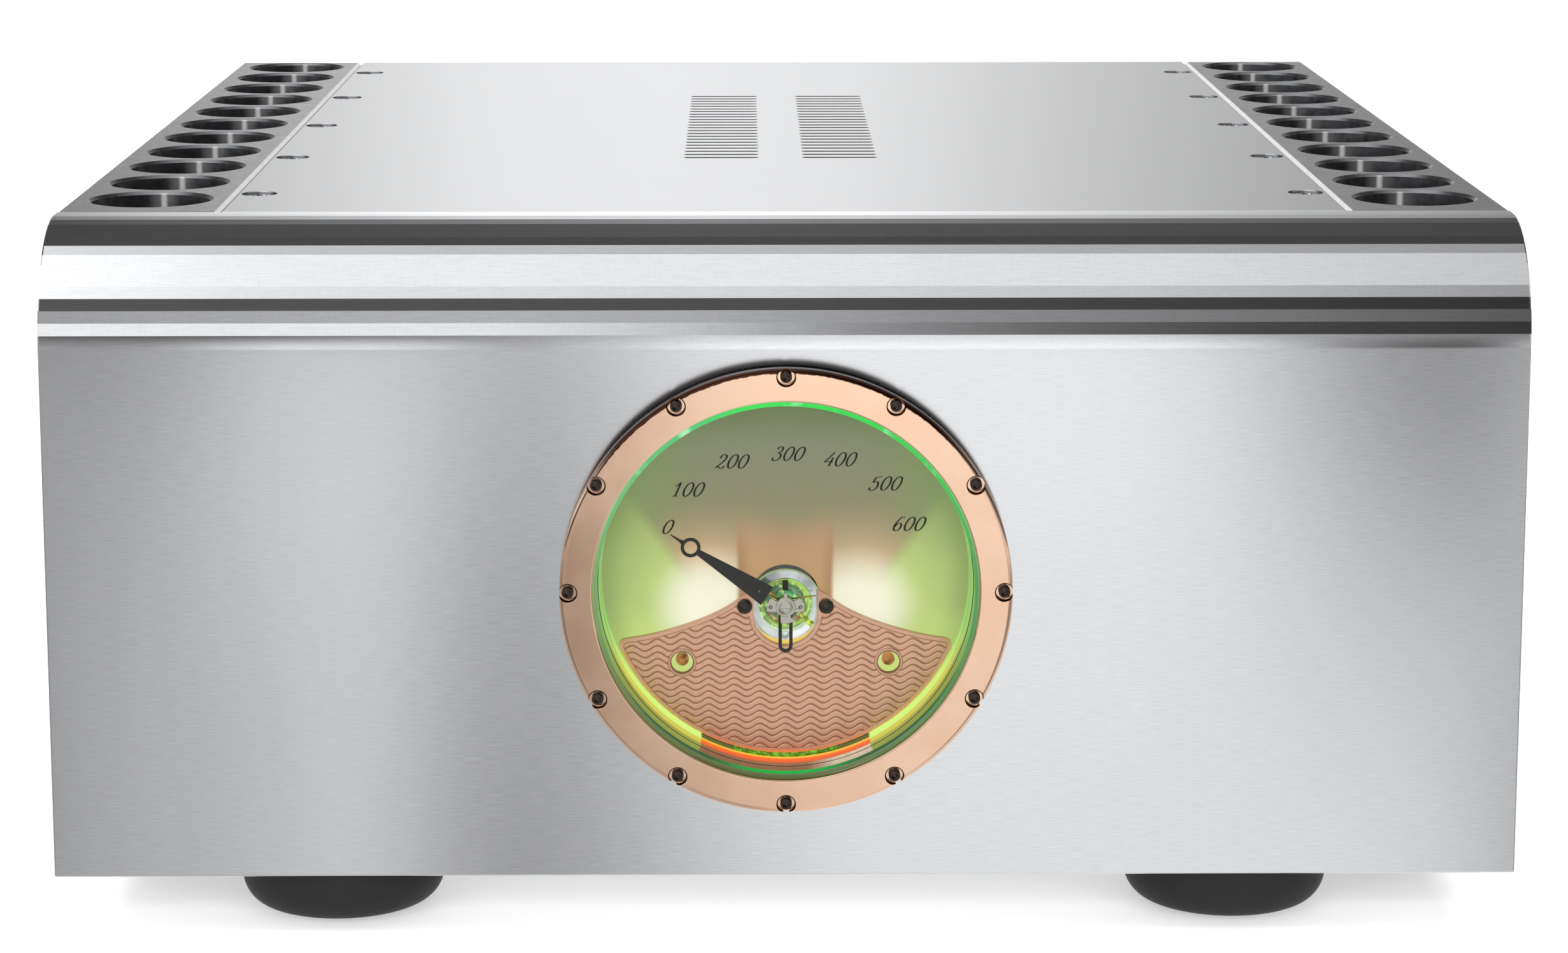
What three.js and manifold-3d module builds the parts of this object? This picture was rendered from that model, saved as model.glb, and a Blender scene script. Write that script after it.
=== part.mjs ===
// Power amplifier, as an assembly of separate pieces.
//
// Millimetres, +Z up, the front faces -Y. Inside the chassis group, x = 0 is the middle of the
// width, y = 0 the face of the front panel (running back) and z = 0 the underside of the body.
// The outer group then centres the whole object on x and y, with the feet standing on z = 0.
import * as THREE from 'three';
import { mergeVertices } from 'three/addons/utils/BufferGeometryUtils.js';
import Module from 'manifold-3d';

const wasm = await Module();
wasm.setup();

// ---------------------------------------------------------------- driving dimensions
const GAP = 0.3;                 // between pieces that touch

const BODY_W = 457.2;            // overall width of the body
const BODY_H = 204;              // underside to top
const FOOT_H = 22;               // height of a foot

const PANEL_T = 41;              // front panel, front to back
const PANEL_EDGE_R = 36.5;       // facetted rounding along its top edge
const PANEL_FACETS = 15;
const PANEL_CHAMFER = 1;

const SINK_W = 50.8;             // heat sink blocks along the two sides
const SINK_L = 481;
const FLUE_R = 19.1;             // vertical air bores in each block
const FLUE_COUNT = 11;
const FLUE_PITCH = 42.9;
const FLUE_FIRST = 30.8;         // first bore's centre behind the front end of the block
const FLUE_SIDES = 24;
const LEDGE_W = 14;              // ledges that carry the top cover and the bottom plate
const LEDGE_H = 11;
const LEDGE_START = 6;           // behind the front end of the block
const LEDGE_STOP = 12;           // ahead of its rear end

const COVER_T = 8;
const COVER_SCREWS = 5;          // along each side
const COVER_SCREW_X = 170;
const COVER_SCREW_FIRST = 44.3;  // behind the cover's front edge
const COVER_SCREW_PITCH = 98.1;
const COVER_BORE_R = 5.75;       // counterbore
const COVER_BORE_DEPTH = 5.5;
const COVER_HEAD_R = 4.25;
const COVER_HEAD_H = 4.6;
const COVER_SOCKET_R = 2.1;
const COVER_SHANK_R = 2.3;
const COVER_SHANK_L = 9.4;
const COVER_THREAD_DEPTH = 9;    // of the threaded holes in the ledges
const VENT_SLOTS = 23;           // slots in each of the two vents
const VENT_PITCH = 9.15;
const VENT_SLOT_L = 25.8;
const VENT_SLOT_R = 1.5;
const VENT_X = 20.6;             // middle of a slot, either side of the centre line

const BOTTOM_T = 6;
const REAR_T = 4;
const REAR_RECESS = 4;           // rear panel's outer face ahead of the blocks' rear ends

const FOOT_R = 32.5;
const FOOT_FLAT_R = 8;           // flat contact in the middle of the underside
const FOOT_DOME_R = 88;          // curvature of the underside
const FOOT_CREASE_R = 23.5;      // where the underside meets the rounded shoulder
const FOOT_SHOULDER_H = 10;
const FOOT_DOME_MID_R = 16;
const FOOT_X = 142.3;
const FOOT_INSET = 42;           // foot's centre behind the front, and ahead of the rear

const METER_Z = 93.1;            // middle of the meter
const METER_HOLE_R = 66;         // hole in the front panel
const BEZEL_R = 69.5;
const BEZEL_OPEN_R = 59.4;
const BEZEL_FRONT = -11;
const BEZEL_T = 5;
const BEZEL_SCREWS = 12;
const BEZEL_SCREW_CIRCLE_R = 67;
const BEZEL_BORE_R = 2.65;
const BEZEL_BORE_DEPTH = 2.4;
const BEZEL_EDGE = 0.8;          // chamfer of its outer edge
const BEZEL_HEAD_R = 1.8;
const BEZEL_HEAD_H = 1.9;
const BEZEL_SOCKET_R = 1.15;
const BEZEL_SHANK_R = 0.9;
const BEZEL_SHANK_L = 4;
const HOUSING_FRONT = -5.7;
const HOUSING_BACK = 34;
const HOUSING_WALL_R = 58;       // inside of the housing
const HOUSING_BACK_R = 55;       // inside behind the dial
const HOUSING_BACK_T = 3;
const GLASS_R = 61;              // flange of the glass, held behind the bezel
const GLASS_T = 6;
const GLASS_FACE_R = 59.1;       // step of the glass that fills the bezel's opening
const GLASS_FACE_FRONT = -9.8;
const DIAL_FRONT = 17;
const DIAL_T = 1.5;
const DIAL_HOLE_R = 10.9;        // clears the movement's core
const FAN_FRONT = 11;            // fan-shaped plate over the lower half of the dial
const FAN_T = 2;
const FAN_R = 56.5;
const FAN_POST_R = 2.4;          // posts that carry the plate above the dial
const FAN_LOW_POST = [26, -43];  // x and z of the two lower ones, from the meter's middle
const FAN_SCREW_X = 12.7;
const FAN_SCREW_Z = -9.2;
const FAN_SCREW_HEAD_R = 2.35;
const FAN_SCREW_HEAD_H = 1.4;
const FAN_SCREW_SHANK_L = 4.8;
const FAN_NOTCH_R = 10.1;        // notch that clears the movement
const FAN_NOTCH_Z = -11.6;
const LAMP_X = 32.3;
const LAMP_Z = -27.3;
const LAMP_HOLE_R = 3.4;
const PIVOT_Z = -8.3;            // needle's axis below the meter's middle
const CORE_R = 10;
const CORE_FRONT = 13.3;
const NEEDLE_Y = 8.3;
const NEEDLE_T = 0.6;
const NEEDLE_REST = 33.1;        // needle's rise above level at rest, degrees
const NEEDLE_OFFSET = 0.76;      // its middle line from the pivot
const NEEDLE_TIP = 42.3;         // along the needle, from the pivot
const NEEDLE_RING = 34.7;
const NEEDLE_RING_R = 3.1;
const NEEDLE_EYE_R = 2;
const NEEDLE_END = 6.5;
const NEEDLE_END_HALF_W = 3.3;
const NEEDLE_HUB_R = 2.2;
const NEEDLE_BORE_R = 0.8;
const BRIDGE_FRONT = 4.8;
const BRIDGE_T = 1.8;
const FORK_T = 1;
const FORK_HALF_W = 2.2;
const FORK_SLOT_HALF_W = 1.15;
const FORK_SLOT_TOP = -5.4;
const FORK_END_Z = -12.7;        // middle of its rounded end, from the pivot
const STAFF_R = 0.5;             // pivot staff with the moving coil's collar
const COLLAR_R = 2.4;
const COLLAR_FRONT = 9.3;
const COLLAR_BACK = 12.3;

const MODULE_X = -110;           // rear fittings, as x and z of their middles
const MODULE_Z = 92;
const POST_X = 92;
const POST_SPACING = 44;
const POST_Z = 72;
const XLR_X = 92;
const XLR_Z = 138;
const ROCKER_TILT = 7;           // degrees each way
const POST_OUT = 27;             // binding posts beyond the rear panel

// worked out from the dimensions above
const BODY_D = PANEL_T + SINK_L;
const SINK_INNER_X = BODY_W / 2 - SINK_W;
const COVER_HALF_W = SINK_INNER_X - GAP;
const FLUE_X = BODY_W / 2 - SINK_W / 2;
const REAR_FACE_Y = BODY_D - REAR_RECESS;
const BRIDGE_BACK = BRIDGE_FRONT + BRIDGE_T;
const OVERALL_FRONT = BEZEL_FRONT;
const OVERALL_REAR = REAR_FACE_Y + POST_OUT;

// ---------------------------------------------------------------- materials
function metal(color, roughness) {
  return new THREE.MeshStandardMaterial({ color, roughness, metalness: 1 });
}

function plastic(color, roughness) {
  return new THREE.MeshStandardMaterial({ color, roughness, metalness: 0 });
}

const finish = {
  panel: metal(0xc9c9ca, 0.35),
  cover: metal(0xd4d5d7, 0.35),
  sink: metal(0x8a8b8e, 0.45),
  blackSteel: metal(0x17171a, 0.35),
  steel: metal(0xb4b6b9, 0.25),
  copper: metal(0xd6ad8d, 0.25),
  dial: plastic(0x9a9a7c, 0.6),
  glass: new THREE.MeshStandardMaterial({
    color: 0xcfe6d4,
    roughness: 0.05,
    metalness: 0,
    transparent: true,
    opacity: 0.2,
  }),
  needle: plastic(0x111111, 0.4),
  lamp: plastic(0xd9c27a, 0.15),
  rubber: plastic(0x1a1a1b, 0.8),
  black: plastic(0x141415, 0.5),
  red: plastic(0xa3161a, 0.4),
  gold: metal(0xc9a24a, 0.25),
  winding: plastic(0x6b2f16, 0.35),
  board: plastic(0x24503a, 0.5),
};

// ---------------------------------------------------------------- solids
// One closed, indexed mesh: shared corners merged, and triangles that collapsed left out.
function closed(geometry) {
  const bare = geometry.clone();
  bare.deleteAttribute('normal');
  bare.deleteAttribute('uv');
  const merged = mergeVertices(bare, 1e-4);
  const index = merged.index.array;
  const kept = [];
  for (let i = 0; i < index.length; i += 3) {
    const [a, b, c] = index.slice(i, i + 3);
    if (a !== b && b !== c && c !== a) {
      kept.push(a, b, c);
    }
  }
  merged.setIndex(kept);
  return merged;
}

function toSolid(geometry) {
  const mesh = closed(geometry);
  return new wasm.Manifold(new wasm.Mesh({
    numProp: 3,
    vertProperties: mesh.attributes.position.array,
    triVerts: new Uint32Array(mesh.index.array),
  }));
}

function toGeometry(solid) {
  const mesh = solid.getMesh();
  const geometry = new THREE.BufferGeometry();
  geometry.setAttribute('position', new THREE.BufferAttribute(mesh.vertProperties, 3));
  geometry.setIndex(new THREE.BufferAttribute(mesh.triVerts, 1));
  return geometry;
}

function cut(geometry, tools) {
  return toGeometry(tools.reduce((body, tool) => body.subtract(toSolid(tool)), toSolid(geometry)));
}

function join(pieces) {
  const [first, ...rest] = pieces.map(toSolid);
  return toGeometry(rest.reduce((body, piece) => body.add(piece), first));
}

// A box between two corners.
function block(low, high) {
  const size = high.map((value, i) => value - low[i]);
  const middle = high.map((value, i) => (value + low[i]) / 2);
  return new THREE.BoxGeometry(...size).translate(...middle);
}

// A round bar along y (or z) from one value to another.
function barY(radius, from, to, x = 0, z = 0, sides = 16) {
  const bar = new THREE.CylinderGeometry(radius, radius, to - from, sides);
  return bar.translate(x, (from + to) / 2, z);
}

function barZ(radius, from, to, x = 0, y = 0, sides = 16) {
  const bar = new THREE.CylinderGeometry(radius, radius, to - from, sides);
  return bar.rotateX(Math.PI / 2).translate(x, y, (from + to) / 2);
}

// A profile of [radius, y] corners turned about the y axis, listed so that the solid lies
// to the left of the walk; it starts and ends on the axis or closes on itself.
function turned(profile, sides) {
  return new THREE.LatheGeometry(profile.map(([r, y]) => new THREE.Vector2(r, y)), sides);
}

// The same profile turned about z.
function turnedUpright(profile, sides) {
  return turned(profile, sides).rotateX(Math.PI / 2);
}

// Outlines are drawn in two axes and pushed along the third.
function pushed(shape, from, to, axes, curveSegments) {
  const plain = { depth: to - from, bevelEnabled: false, curveSegments };
  const geometry = new THREE.ExtrudeGeometry(shape, plain);
  const basis = new THREE.Matrix4().makeBasis(...axes);
  return geometry.applyMatrix4(basis).translate(...axes[2].clone().multiplyScalar(from).toArray());
}

const AXIS_X = new THREE.Vector3(1, 0, 0);
const AXIS_Y = new THREE.Vector3(0, 1, 0);
const AXIS_Z = new THREE.Vector3(0, 0, 1);
const BACK_TO_FRONT = new THREE.Vector3(0, -1, 0);

// An outline in x and y, from one height to another.
function upright(shape, low, high, curveSegments = 6) {
  return pushed(shape, low, high, [AXIS_X, AXIS_Y, AXIS_Z], curveSegments);
}

// An outline in x and z, between two depths.
function facing(shape, front, back, curveSegments = 6) {
  return pushed(shape, -back, -front, [AXIS_X, AXIS_Z, BACK_TO_FRONT], curveSegments);
}

// An outline in y and z, from left to right.
function across(shape, left, right, curveSegments = 6) {
  return pushed(shape, left, right, [AXIS_Y, AXIS_Z, AXIS_X], curveSegments);
}

function outline(corners) {
  return new THREE.Shape(corners.map(([u, v]) => new THREE.Vector2(u, v)));
}

function rectangle(left, low, right, high) {
  return outline([[left, low], [right, low], [right, high], [left, high]]);
}

function circle(radius, u = 0, v = 0, sides = 0) {
  if (sides === 0) {
    return new THREE.Shape().absarc(u, v, radius, 0, 2 * Math.PI, false);
  }
  const corner = (i) => 2 * Math.PI * i / sides;
  const corners = Array.from({ length: sides }, (_, i) => [
    u + radius * Math.cos(corner(i)),
    v + radius * Math.sin(corner(i)),
  ]);
  return outline(corners);
}

function add(parent, name, geometry, material) {
  const mesh = new THREE.Mesh(closed(geometry), material);
  mesh.name = name;
  parent.add(mesh);
  return mesh;
}

// ---------------------------------------------------------------- chassis
const group = new THREE.Group();
const chassis = new THREE.Group();
chassis.position.set(0, -(OVERALL_FRONT + OVERALL_REAR) / 2, FOOT_H);
group.add(chassis);

// Vertical face, top edge rounded in narrow flat facets, and a small chamfer behind.
function frontPanel() {
  const corners = [[PANEL_T, 0], [PANEL_T, BODY_H - PANEL_CHAMFER], [PANEL_T - PANEL_CHAMFER, BODY_H]];
  for (let i = 0; i <= PANEL_FACETS; i += 1) {
    const angle = Math.PI / 2 * (1 + i / PANEL_FACETS);
    corners.push([
      PANEL_EDGE_R + PANEL_EDGE_R * Math.cos(angle),
      BODY_H - PANEL_EDGE_R + PANEL_EDGE_R * Math.sin(angle),
    ]);
  }
  corners.push([0, 0]);
  const solid = across(outline(corners), -BODY_W / 2, BODY_W / 2);
  return cut(solid, [barY(METER_HOLE_R, -1, PANEL_T + 1, 0, METER_Z, 40)]);
}

function coverScrewPlaces() {
  const places = [];
  for (const side of [-1, 1]) {
    for (let i = 0; i < COVER_SCREWS; i += 1) {
      places.push([side * COVER_SCREW_X, PANEL_T + COVER_SCREW_FIRST + i * COVER_SCREW_PITCH]);
    }
  }
  return places;
}

// A block with a row of vertical bores, and two ledges along its inner face.
function heatSink(side) {
  const [low, high] = [side * SINK_INNER_X, side * BODY_W / 2].sort((a, b) => a - b);
  const front = PANEL_T + GAP;
  const shape = rectangle(low, front, high, BODY_D);
  for (let i = 0; i < FLUE_COUNT; i += 1) {
    const y = PANEL_T + FLUE_FIRST + i * FLUE_PITCH;
    shape.holes.push(circle(FLUE_R, side * FLUE_X, y, FLUE_SIDES));
  }
  const reach = [side * (SINK_INNER_X - LEDGE_W), side * (SINK_INNER_X + 1)].sort((a, b) => a - b);
  const coverUnderside = BODY_H - COVER_T - GAP;
  const plateTop = BOTTOM_T + GAP;
  const ledge = (bottom) => block(
    [reach[0], front + LEDGE_START, bottom],
    [reach[1], BODY_D - LEDGE_STOP, bottom + LEDGE_H],
  );
  const solid = join([upright(shape, 0, BODY_H), ledge(coverUnderside - LEDGE_H), ledge(plateTop)]);
  const threads = coverScrewPlaces()
    .filter(([x]) => Math.sign(x) === side)
    .map(([x, y]) => barZ(
      COVER_SHANK_R + GAP, coverUnderside - COVER_THREAD_DEPTH, BODY_H - COVER_T, x, y, 8,
    ));
  return cut(solid, threads);
}

function ventSlot(x, y) {
  const straight = VENT_SLOT_L / 2 - VENT_SLOT_R;
  const slot = new THREE.Shape();
  slot.absarc(x + straight, y, VENT_SLOT_R, -Math.PI / 2, Math.PI / 2, false);
  slot.absarc(x - straight, y, VENT_SLOT_R, Math.PI / 2, 3 * Math.PI / 2, false);
  return slot;
}

// The plate between the blocks, with two ladders of slots and counterbored screw holes.
function topCover() {
  const front = PANEL_T + GAP;
  const shape = rectangle(-COVER_HALF_W, front, COVER_HALF_W, BODY_D);
  const middle = (PANEL_T + BODY_D) / 2;
  for (const side of [-1, 1]) {
    for (let i = 0; i < VENT_SLOTS; i += 1) {
      shape.holes.push(ventSlot(side * VENT_X, middle + (i - (VENT_SLOTS - 1) / 2) * VENT_PITCH));
    }
  }
  const plate = upright(shape, BODY_H - COVER_T, BODY_H, 3);
  const holes = coverScrewPlaces().flatMap(([x, y]) => [
    barZ(COVER_BORE_R, BODY_H - COVER_BORE_DEPTH, BODY_H + 1, x, y, 14),
    barZ(COVER_SHANK_R + GAP, BODY_H - COVER_T - 1, BODY_H, x, y, 8),
  ]);
  return cut(plate, holes);
}

// A socket-head cap screw with its head up, the top of its head at z = 0.
function capScrew(headR, headH, shankR, length, socketR, sides) {
  return turnedUpright([
    [0, -headH - length],
    [shankR, -headH - length],
    [shankR, -headH],
    [headR, -headH],
    [headR, 0],
    [socketR, 0],
    [socketR, -headH / 2],
    [0, -headH / 2],
  ], sides);
}

function bottomPlate() {
  return block([-COVER_HALF_W, PANEL_T + GAP, 0], [COVER_HALF_W, BODY_D, BOTTOM_T]);
}

// Domed foot: a wide shallow cap below, an elliptical shoulder and a straight upper side.
function foot() {
  const drop = (r) => Math.sqrt(FOOT_DOME_R ** 2 - r ** 2);
  const dome = (r) => drop(FOOT_FLAT_R) - drop(r);
  const profile = [
    [0, -FOOT_H],
    [FOOT_FLAT_R, -FOOT_H],
    [FOOT_DOME_MID_R, -FOOT_H + dome(FOOT_DOME_MID_R)],
  ];
  const shoulderLow = -FOOT_H + dome(FOOT_CREASE_R);
  for (let i = 0; i <= 4; i += 1) {
    const angle = Math.PI / 8 * i;
    profile.push([
      FOOT_CREASE_R + (FOOT_R - FOOT_CREASE_R) * Math.sin(angle),
      shoulderLow + FOOT_SHOULDER_H * (1 - Math.cos(angle)),
    ]);
  }
  profile.push([FOOT_R, -GAP], [0, -GAP]);
  return turnedUpright(profile, 24);
}

add(chassis, 'front_panel', frontPanel(), finish.panel);
add(chassis, 'heatsink_left', heatSink(-1), finish.sink);
add(chassis, 'heatsink_right', heatSink(1), finish.sink);
add(chassis, 'top_cover', topCover(), finish.cover);
add(chassis, 'bottom_plate', bottomPlate(), finish.cover);

coverScrewPlaces().forEach(([x, y], i) => {
  const side = x < 0 ? 'left' : 'right';
  const geometry = capScrew(
    COVER_HEAD_R, COVER_HEAD_H, COVER_SHANK_R, COVER_SHANK_L, COVER_SOCKET_R, 10,
  );
  const screw = add(chassis, `cover_screw_${side}_${(i % COVER_SCREWS) + 1}`, geometry, finish.steel);
  screw.position.set(x, y, BODY_H - COVER_BORE_DEPTH + GAP + COVER_HEAD_H);
});

for (const [end, y] of [['front', FOOT_INSET], ['rear', BODY_D - FOOT_INSET]]) {
  for (const [side, x] of [['left', -FOOT_X], ['right', FOOT_X]]) {
    const piece = add(chassis, `foot_${end}_${side}`, foot(), finish.rubber);
    piece.position.set(x, y, 0);
  }
}

// ---------------------------------------------------------------- meter
const meter = new THREE.Group();
meter.position.z = METER_Z;
chassis.add(meter);

function bezelScrewPlaces() {
  return Array.from({ length: BEZEL_SCREWS }, (_, i) => {
    const angle = Math.PI / 2 - 2 * Math.PI * i / BEZEL_SCREWS;
    return [BEZEL_SCREW_CIRCLE_R * Math.cos(angle), BEZEL_SCREW_CIRCLE_R * Math.sin(angle)];
  });
}

// A cup with a flange in front of the panel, a seat for the glass and a ledge for the dial.
function meterHousing() {
  const glassSeat = GLASS_T + HOUSING_FRONT + 2 * GAP;
  const cup = turned([
    [0, HOUSING_BACK - HOUSING_BACK_T],
    [HOUSING_BACK_R, HOUSING_BACK - HOUSING_BACK_T],
    [HOUSING_BACK_R, DIAL_FRONT + DIAL_T + GAP],
    [HOUSING_WALL_R, DIAL_FRONT + DIAL_T + GAP],
    [HOUSING_WALL_R, glassSeat],
    [GLASS_R + GAP, glassSeat],
    [GLASS_R + GAP, HOUSING_FRONT],
    [BEZEL_R - GAP, HOUSING_FRONT],
    [BEZEL_R - GAP, -GAP],
    [METER_HOLE_R - 0.5, -GAP],
    [METER_HOLE_R - 0.5, HOUSING_BACK],
    [0, HOUSING_BACK],
  ], 40);
  const threads = bezelScrewPlaces().map(([x, z]) => (
    barY(BEZEL_SHANK_R + GAP, HOUSING_FRONT - 1, -1, x, z, 6)
  ));
  return cut(cup, threads);
}

// A flat ring with a small rounded outer edge and a counterbore for each screw.
function meterBezel() {
  const back = BEZEL_FRONT + BEZEL_T;
  const ring = turned([
    [BEZEL_OPEN_R, back],
    [BEZEL_OPEN_R, BEZEL_FRONT],
    [BEZEL_R - BEZEL_EDGE, BEZEL_FRONT],
    [BEZEL_R, BEZEL_FRONT + BEZEL_EDGE],
    [BEZEL_R, back],
    [BEZEL_OPEN_R, back],
  ], 60);
  const holes = bezelScrewPlaces().flatMap(([x, z]) => [
    barY(BEZEL_BORE_R, BEZEL_FRONT - 1, BEZEL_FRONT + BEZEL_BORE_DEPTH, x, z, 10),
    barY(BEZEL_SHANK_R + GAP, BEZEL_FRONT, back + 1, x, z, 6),
  ]);
  return cut(ring, holes);
}

// Fan outline: a wide arc below, rounded corners, hollow upper edges and a round notch.
function fanOutline() {
  const notchR = FAN_NOTCH_R;
  const shape = new THREE.Shape();
  shape.moveTo(notchR, -3.8);
  shape.lineTo(notchR, FAN_NOTCH_Z);
  shape.absarc(0, FAN_NOTCH_Z, notchR, 0, Math.PI, true);
  shape.lineTo(-notchR, -3.8);
  shape.quadraticCurveTo(-23.5, -15, -49.5, -19.6);
  shape.quadraticCurveTo(-52.6, -20.6, -51.8, -22.6);
  const low = Math.atan2(-22.6, -51.8);
  shape.absarc(0, 0, FAN_R, low + 2 * Math.PI, Math.PI - low, false);
  shape.quadraticCurveTo(52.6, -20.6, 49.5, -19.6);
  shape.quadraticCurveTo(23.5, -15, notchR, -3.8);
  return shape;
}

function meterFanPlate() {
  const plate = facing(fanOutline(), FAN_FRONT, FAN_FRONT + FAN_T, 8);
  const posts = [];
  const holes = [];
  const rear = DIAL_FRONT - GAP;
  const [lowX, lowZ] = FAN_LOW_POST;
  for (const side of [-1, 1]) {
    posts.push(barY(FAN_POST_R, FAN_FRONT + 1, rear, side * FAN_SCREW_X, FAN_SCREW_Z, 8));
    posts.push(barY(FAN_POST_R, FAN_FRONT + 1, rear, side * lowX, lowZ, 8));
    holes.push(barY(1 + GAP, FAN_FRONT - 1, rear + 1, side * FAN_SCREW_X, FAN_SCREW_Z, 8));
    holes.push(barY(LAMP_HOLE_R, FAN_FRONT - 1, FAN_FRONT + FAN_T + 1, side * LAMP_X, LAMP_Z, 14));
  }
  return cut(join([plate, ...posts]), holes);
}

function meterDial() {
  const shape = circle(HOUSING_WALL_R - GAP, 0, 0, 48);
  shape.holes.push(circle(DIAL_HOLE_R, 0, PIVOT_Z, 18));
  return facing(shape, DIAL_FRONT, DIAL_FRONT + DIAL_T);
}

// Needle, drawn pointing along +x from its axis: hub and thin arm, a blade that narrows
// outwards from a square end, a ring, and the thin tip past the ring.
function meterNeedle() {
  const middle = NEEDLE_OFFSET;
  const ringReach = (NEEDLE_RING_R + NEEDLE_EYE_R) / 2;
  const taper = (start, halfStart, end, halfEnd) => outline([
    [start, middle - halfStart],
    [end, middle - halfEnd],
    [end, middle + halfEnd],
    [start, middle + halfStart],
  ]);
  const arm = outline([[0, -0.55], [NEEDLE_END + 1, 0.2], [NEEDLE_END + 1, 1.3], [0, 0.55]]);
  const back = NEEDLE_Y + NEEDLE_T;
  const flat = join([
    facing(arm, NEEDLE_Y, back),
    facing(taper(NEEDLE_END, NEEDLE_END_HALF_W, NEEDLE_RING - ringReach, 0.8), NEEDLE_Y, back),
    facing(taper(NEEDLE_RING + ringReach, 0.6, NEEDLE_TIP, 0.25), NEEDLE_Y, back),
    barY(NEEDLE_RING_R, NEEDLE_Y, back, NEEDLE_RING, middle, 18),
    barY(NEEDLE_HUB_R, NEEDLE_Y, back, 0, 0, 14),
  ]);
  return cut(flat, [
    barY(NEEDLE_EYE_R, NEEDLE_Y - 1, back + 1, NEEDLE_RING, middle, 14),
    barY(NEEDLE_BORE_R, NEEDLE_Y - 1, back + 1, 0, 0, 12),
  ]);
}

// Glass with a step: its face fills the bezel's opening and its flange sits in the housing.
function meterGlass() {
  const seat = HOUSING_FRONT + GAP;
  return turned([
    [0, GLASS_FACE_FRONT],
    [GLASS_FACE_R, GLASS_FACE_FRONT],
    [GLASS_FACE_R, seat],
    [GLASS_R, seat],
    [GLASS_R, seat + GLASS_T],
    [0, seat + GLASS_T],
  ], 48);
}

// Pivot staff with the moving coil's collar.
function meterCoil() {
  return turned([
    [0, BRIDGE_BACK + GAP],
    [STAFF_R, BRIDGE_BACK + GAP],
    [STAFF_R, COLLAR_FRONT],
    [COLLAR_R, COLLAR_FRONT],
    [COLLAR_R, COLLAR_BACK],
    [STAFF_R, COLLAR_BACK],
    [STAFF_R, CORE_FRONT - GAP],
    [0, CORE_FRONT - GAP],
  ], 14);
}

// Bar over the pivot with two ears and two tabs, standing on two legs.
function meterBridge() {
  const ears = outline([
    [-5.9, -1.6], [5.9, -1.6], [5.9, 1.5], [4.9, 2.7], [3.6, 2.7], [1.5, 1.4],
    [-1.5, 1.4], [-3.6, 2.7], [-4.9, 2.7], [-5.9, 1.5],
  ]);
  const bar = join([
    facing(ears, BRIDGE_FRONT, BRIDGE_BACK),
    barY(3, BRIDGE_FRONT, BRIDGE_BACK, 0, 0, 14),
    facing(rectangle(-0.6, 2, 0.6, 4.5), BRIDGE_FRONT, BRIDGE_BACK),
    facing(rectangle(-1.6, -5.2, 1.6, -2), BRIDGE_FRONT, BRIDGE_BACK),
  ]);
  const leg = (x) => barY(0.7, BRIDGE_FRONT + 1, CORE_FRONT - GAP, x, 0, 10);
  return join([bar, leg(-5), leg(5)]);
}

// A strip with a rounded lower end, below the pivot.
function hangingStrip(half, top) {
  const shape = new THREE.Shape();
  shape.moveTo(half, top);
  shape.lineTo(-half, top);
  shape.lineTo(-half, FORK_END_Z);
  shape.absarc(0, FORK_END_Z, half, Math.PI, 2 * Math.PI, false);
  return shape;
}

// Long loop below the pivot that shifts the needle's rest point.
function zeroFork() {
  const front = BRIDGE_BACK + GAP;
  const back = front + FORK_T;
  const body = join([
    barY(2.6, front, back, 0, 0, 14),
    facing(hangingStrip(FORK_HALF_W, -1), front, back, 5),
  ]);
  return cut(body, [
    facing(hangingStrip(FORK_SLOT_HALF_W, FORK_SLOT_TOP), front - 1, back + 1, 5),
    barY(1, front - 1, back + 1, 0, 0, 12),
  ]);
}

// Domed lamp with a collar, its dome to the front.
function lamp() {
  return turned([
    [0, 9.6],
    [1.5, 10],
    [2.5, 11.7],
    [2.5, 14.5],
    [3, 14.5],
    [3, DIAL_FRONT - GAP],
    [0, DIAL_FRONT - GAP],
  ], 16);
}

add(meter, 'meter_housing', meterHousing(), finish.blackSteel);
add(meter, 'meter_bezel', meterBezel(), finish.copper);
add(meter, 'meter_glass', meterGlass(), finish.glass);
add(meter, 'meter_dial', meterDial(), finish.dial);
add(meter, 'meter_fan_plate', meterFanPlate(), finish.copper);

bezelScrewPlaces().forEach(([x, z], i) => {
  const pointingUp = capScrew(
    BEZEL_HEAD_R, BEZEL_HEAD_H, BEZEL_SHANK_R, BEZEL_SHANK_L, BEZEL_SOCKET_R, 8,
  );
  const name = `bezel_screw_${String(i + 1).padStart(2, '0')}`;
  const screw = add(meter, name, pointingUp.rotateX(Math.PI / 2), finish.blackSteel);
  screw.position.set(x, BEZEL_FRONT + BEZEL_BORE_DEPTH - GAP - BEZEL_HEAD_H, z);
});

for (const [side, sign] of [['left', -1], ['right', 1]]) {
  const pointingUp = capScrew(FAN_SCREW_HEAD_R, FAN_SCREW_HEAD_H, 1, FAN_SCREW_SHANK_L, 1.3, 10);
  const screw = add(meter, `fan_screw_${side}`, pointingUp.rotateX(Math.PI / 2), finish.blackSteel);
  screw.position.set(sign * FAN_SCREW_X, FAN_FRONT - GAP - FAN_SCREW_HEAD_H, FAN_SCREW_Z);
  const light = add(meter, `lamp_${side}`, lamp(), finish.lamp);
  light.position.set(sign * LAMP_X, 0, LAMP_Z);
}

const movement = new THREE.Group();
movement.position.z = PIVOT_Z;
meter.add(movement);

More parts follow.
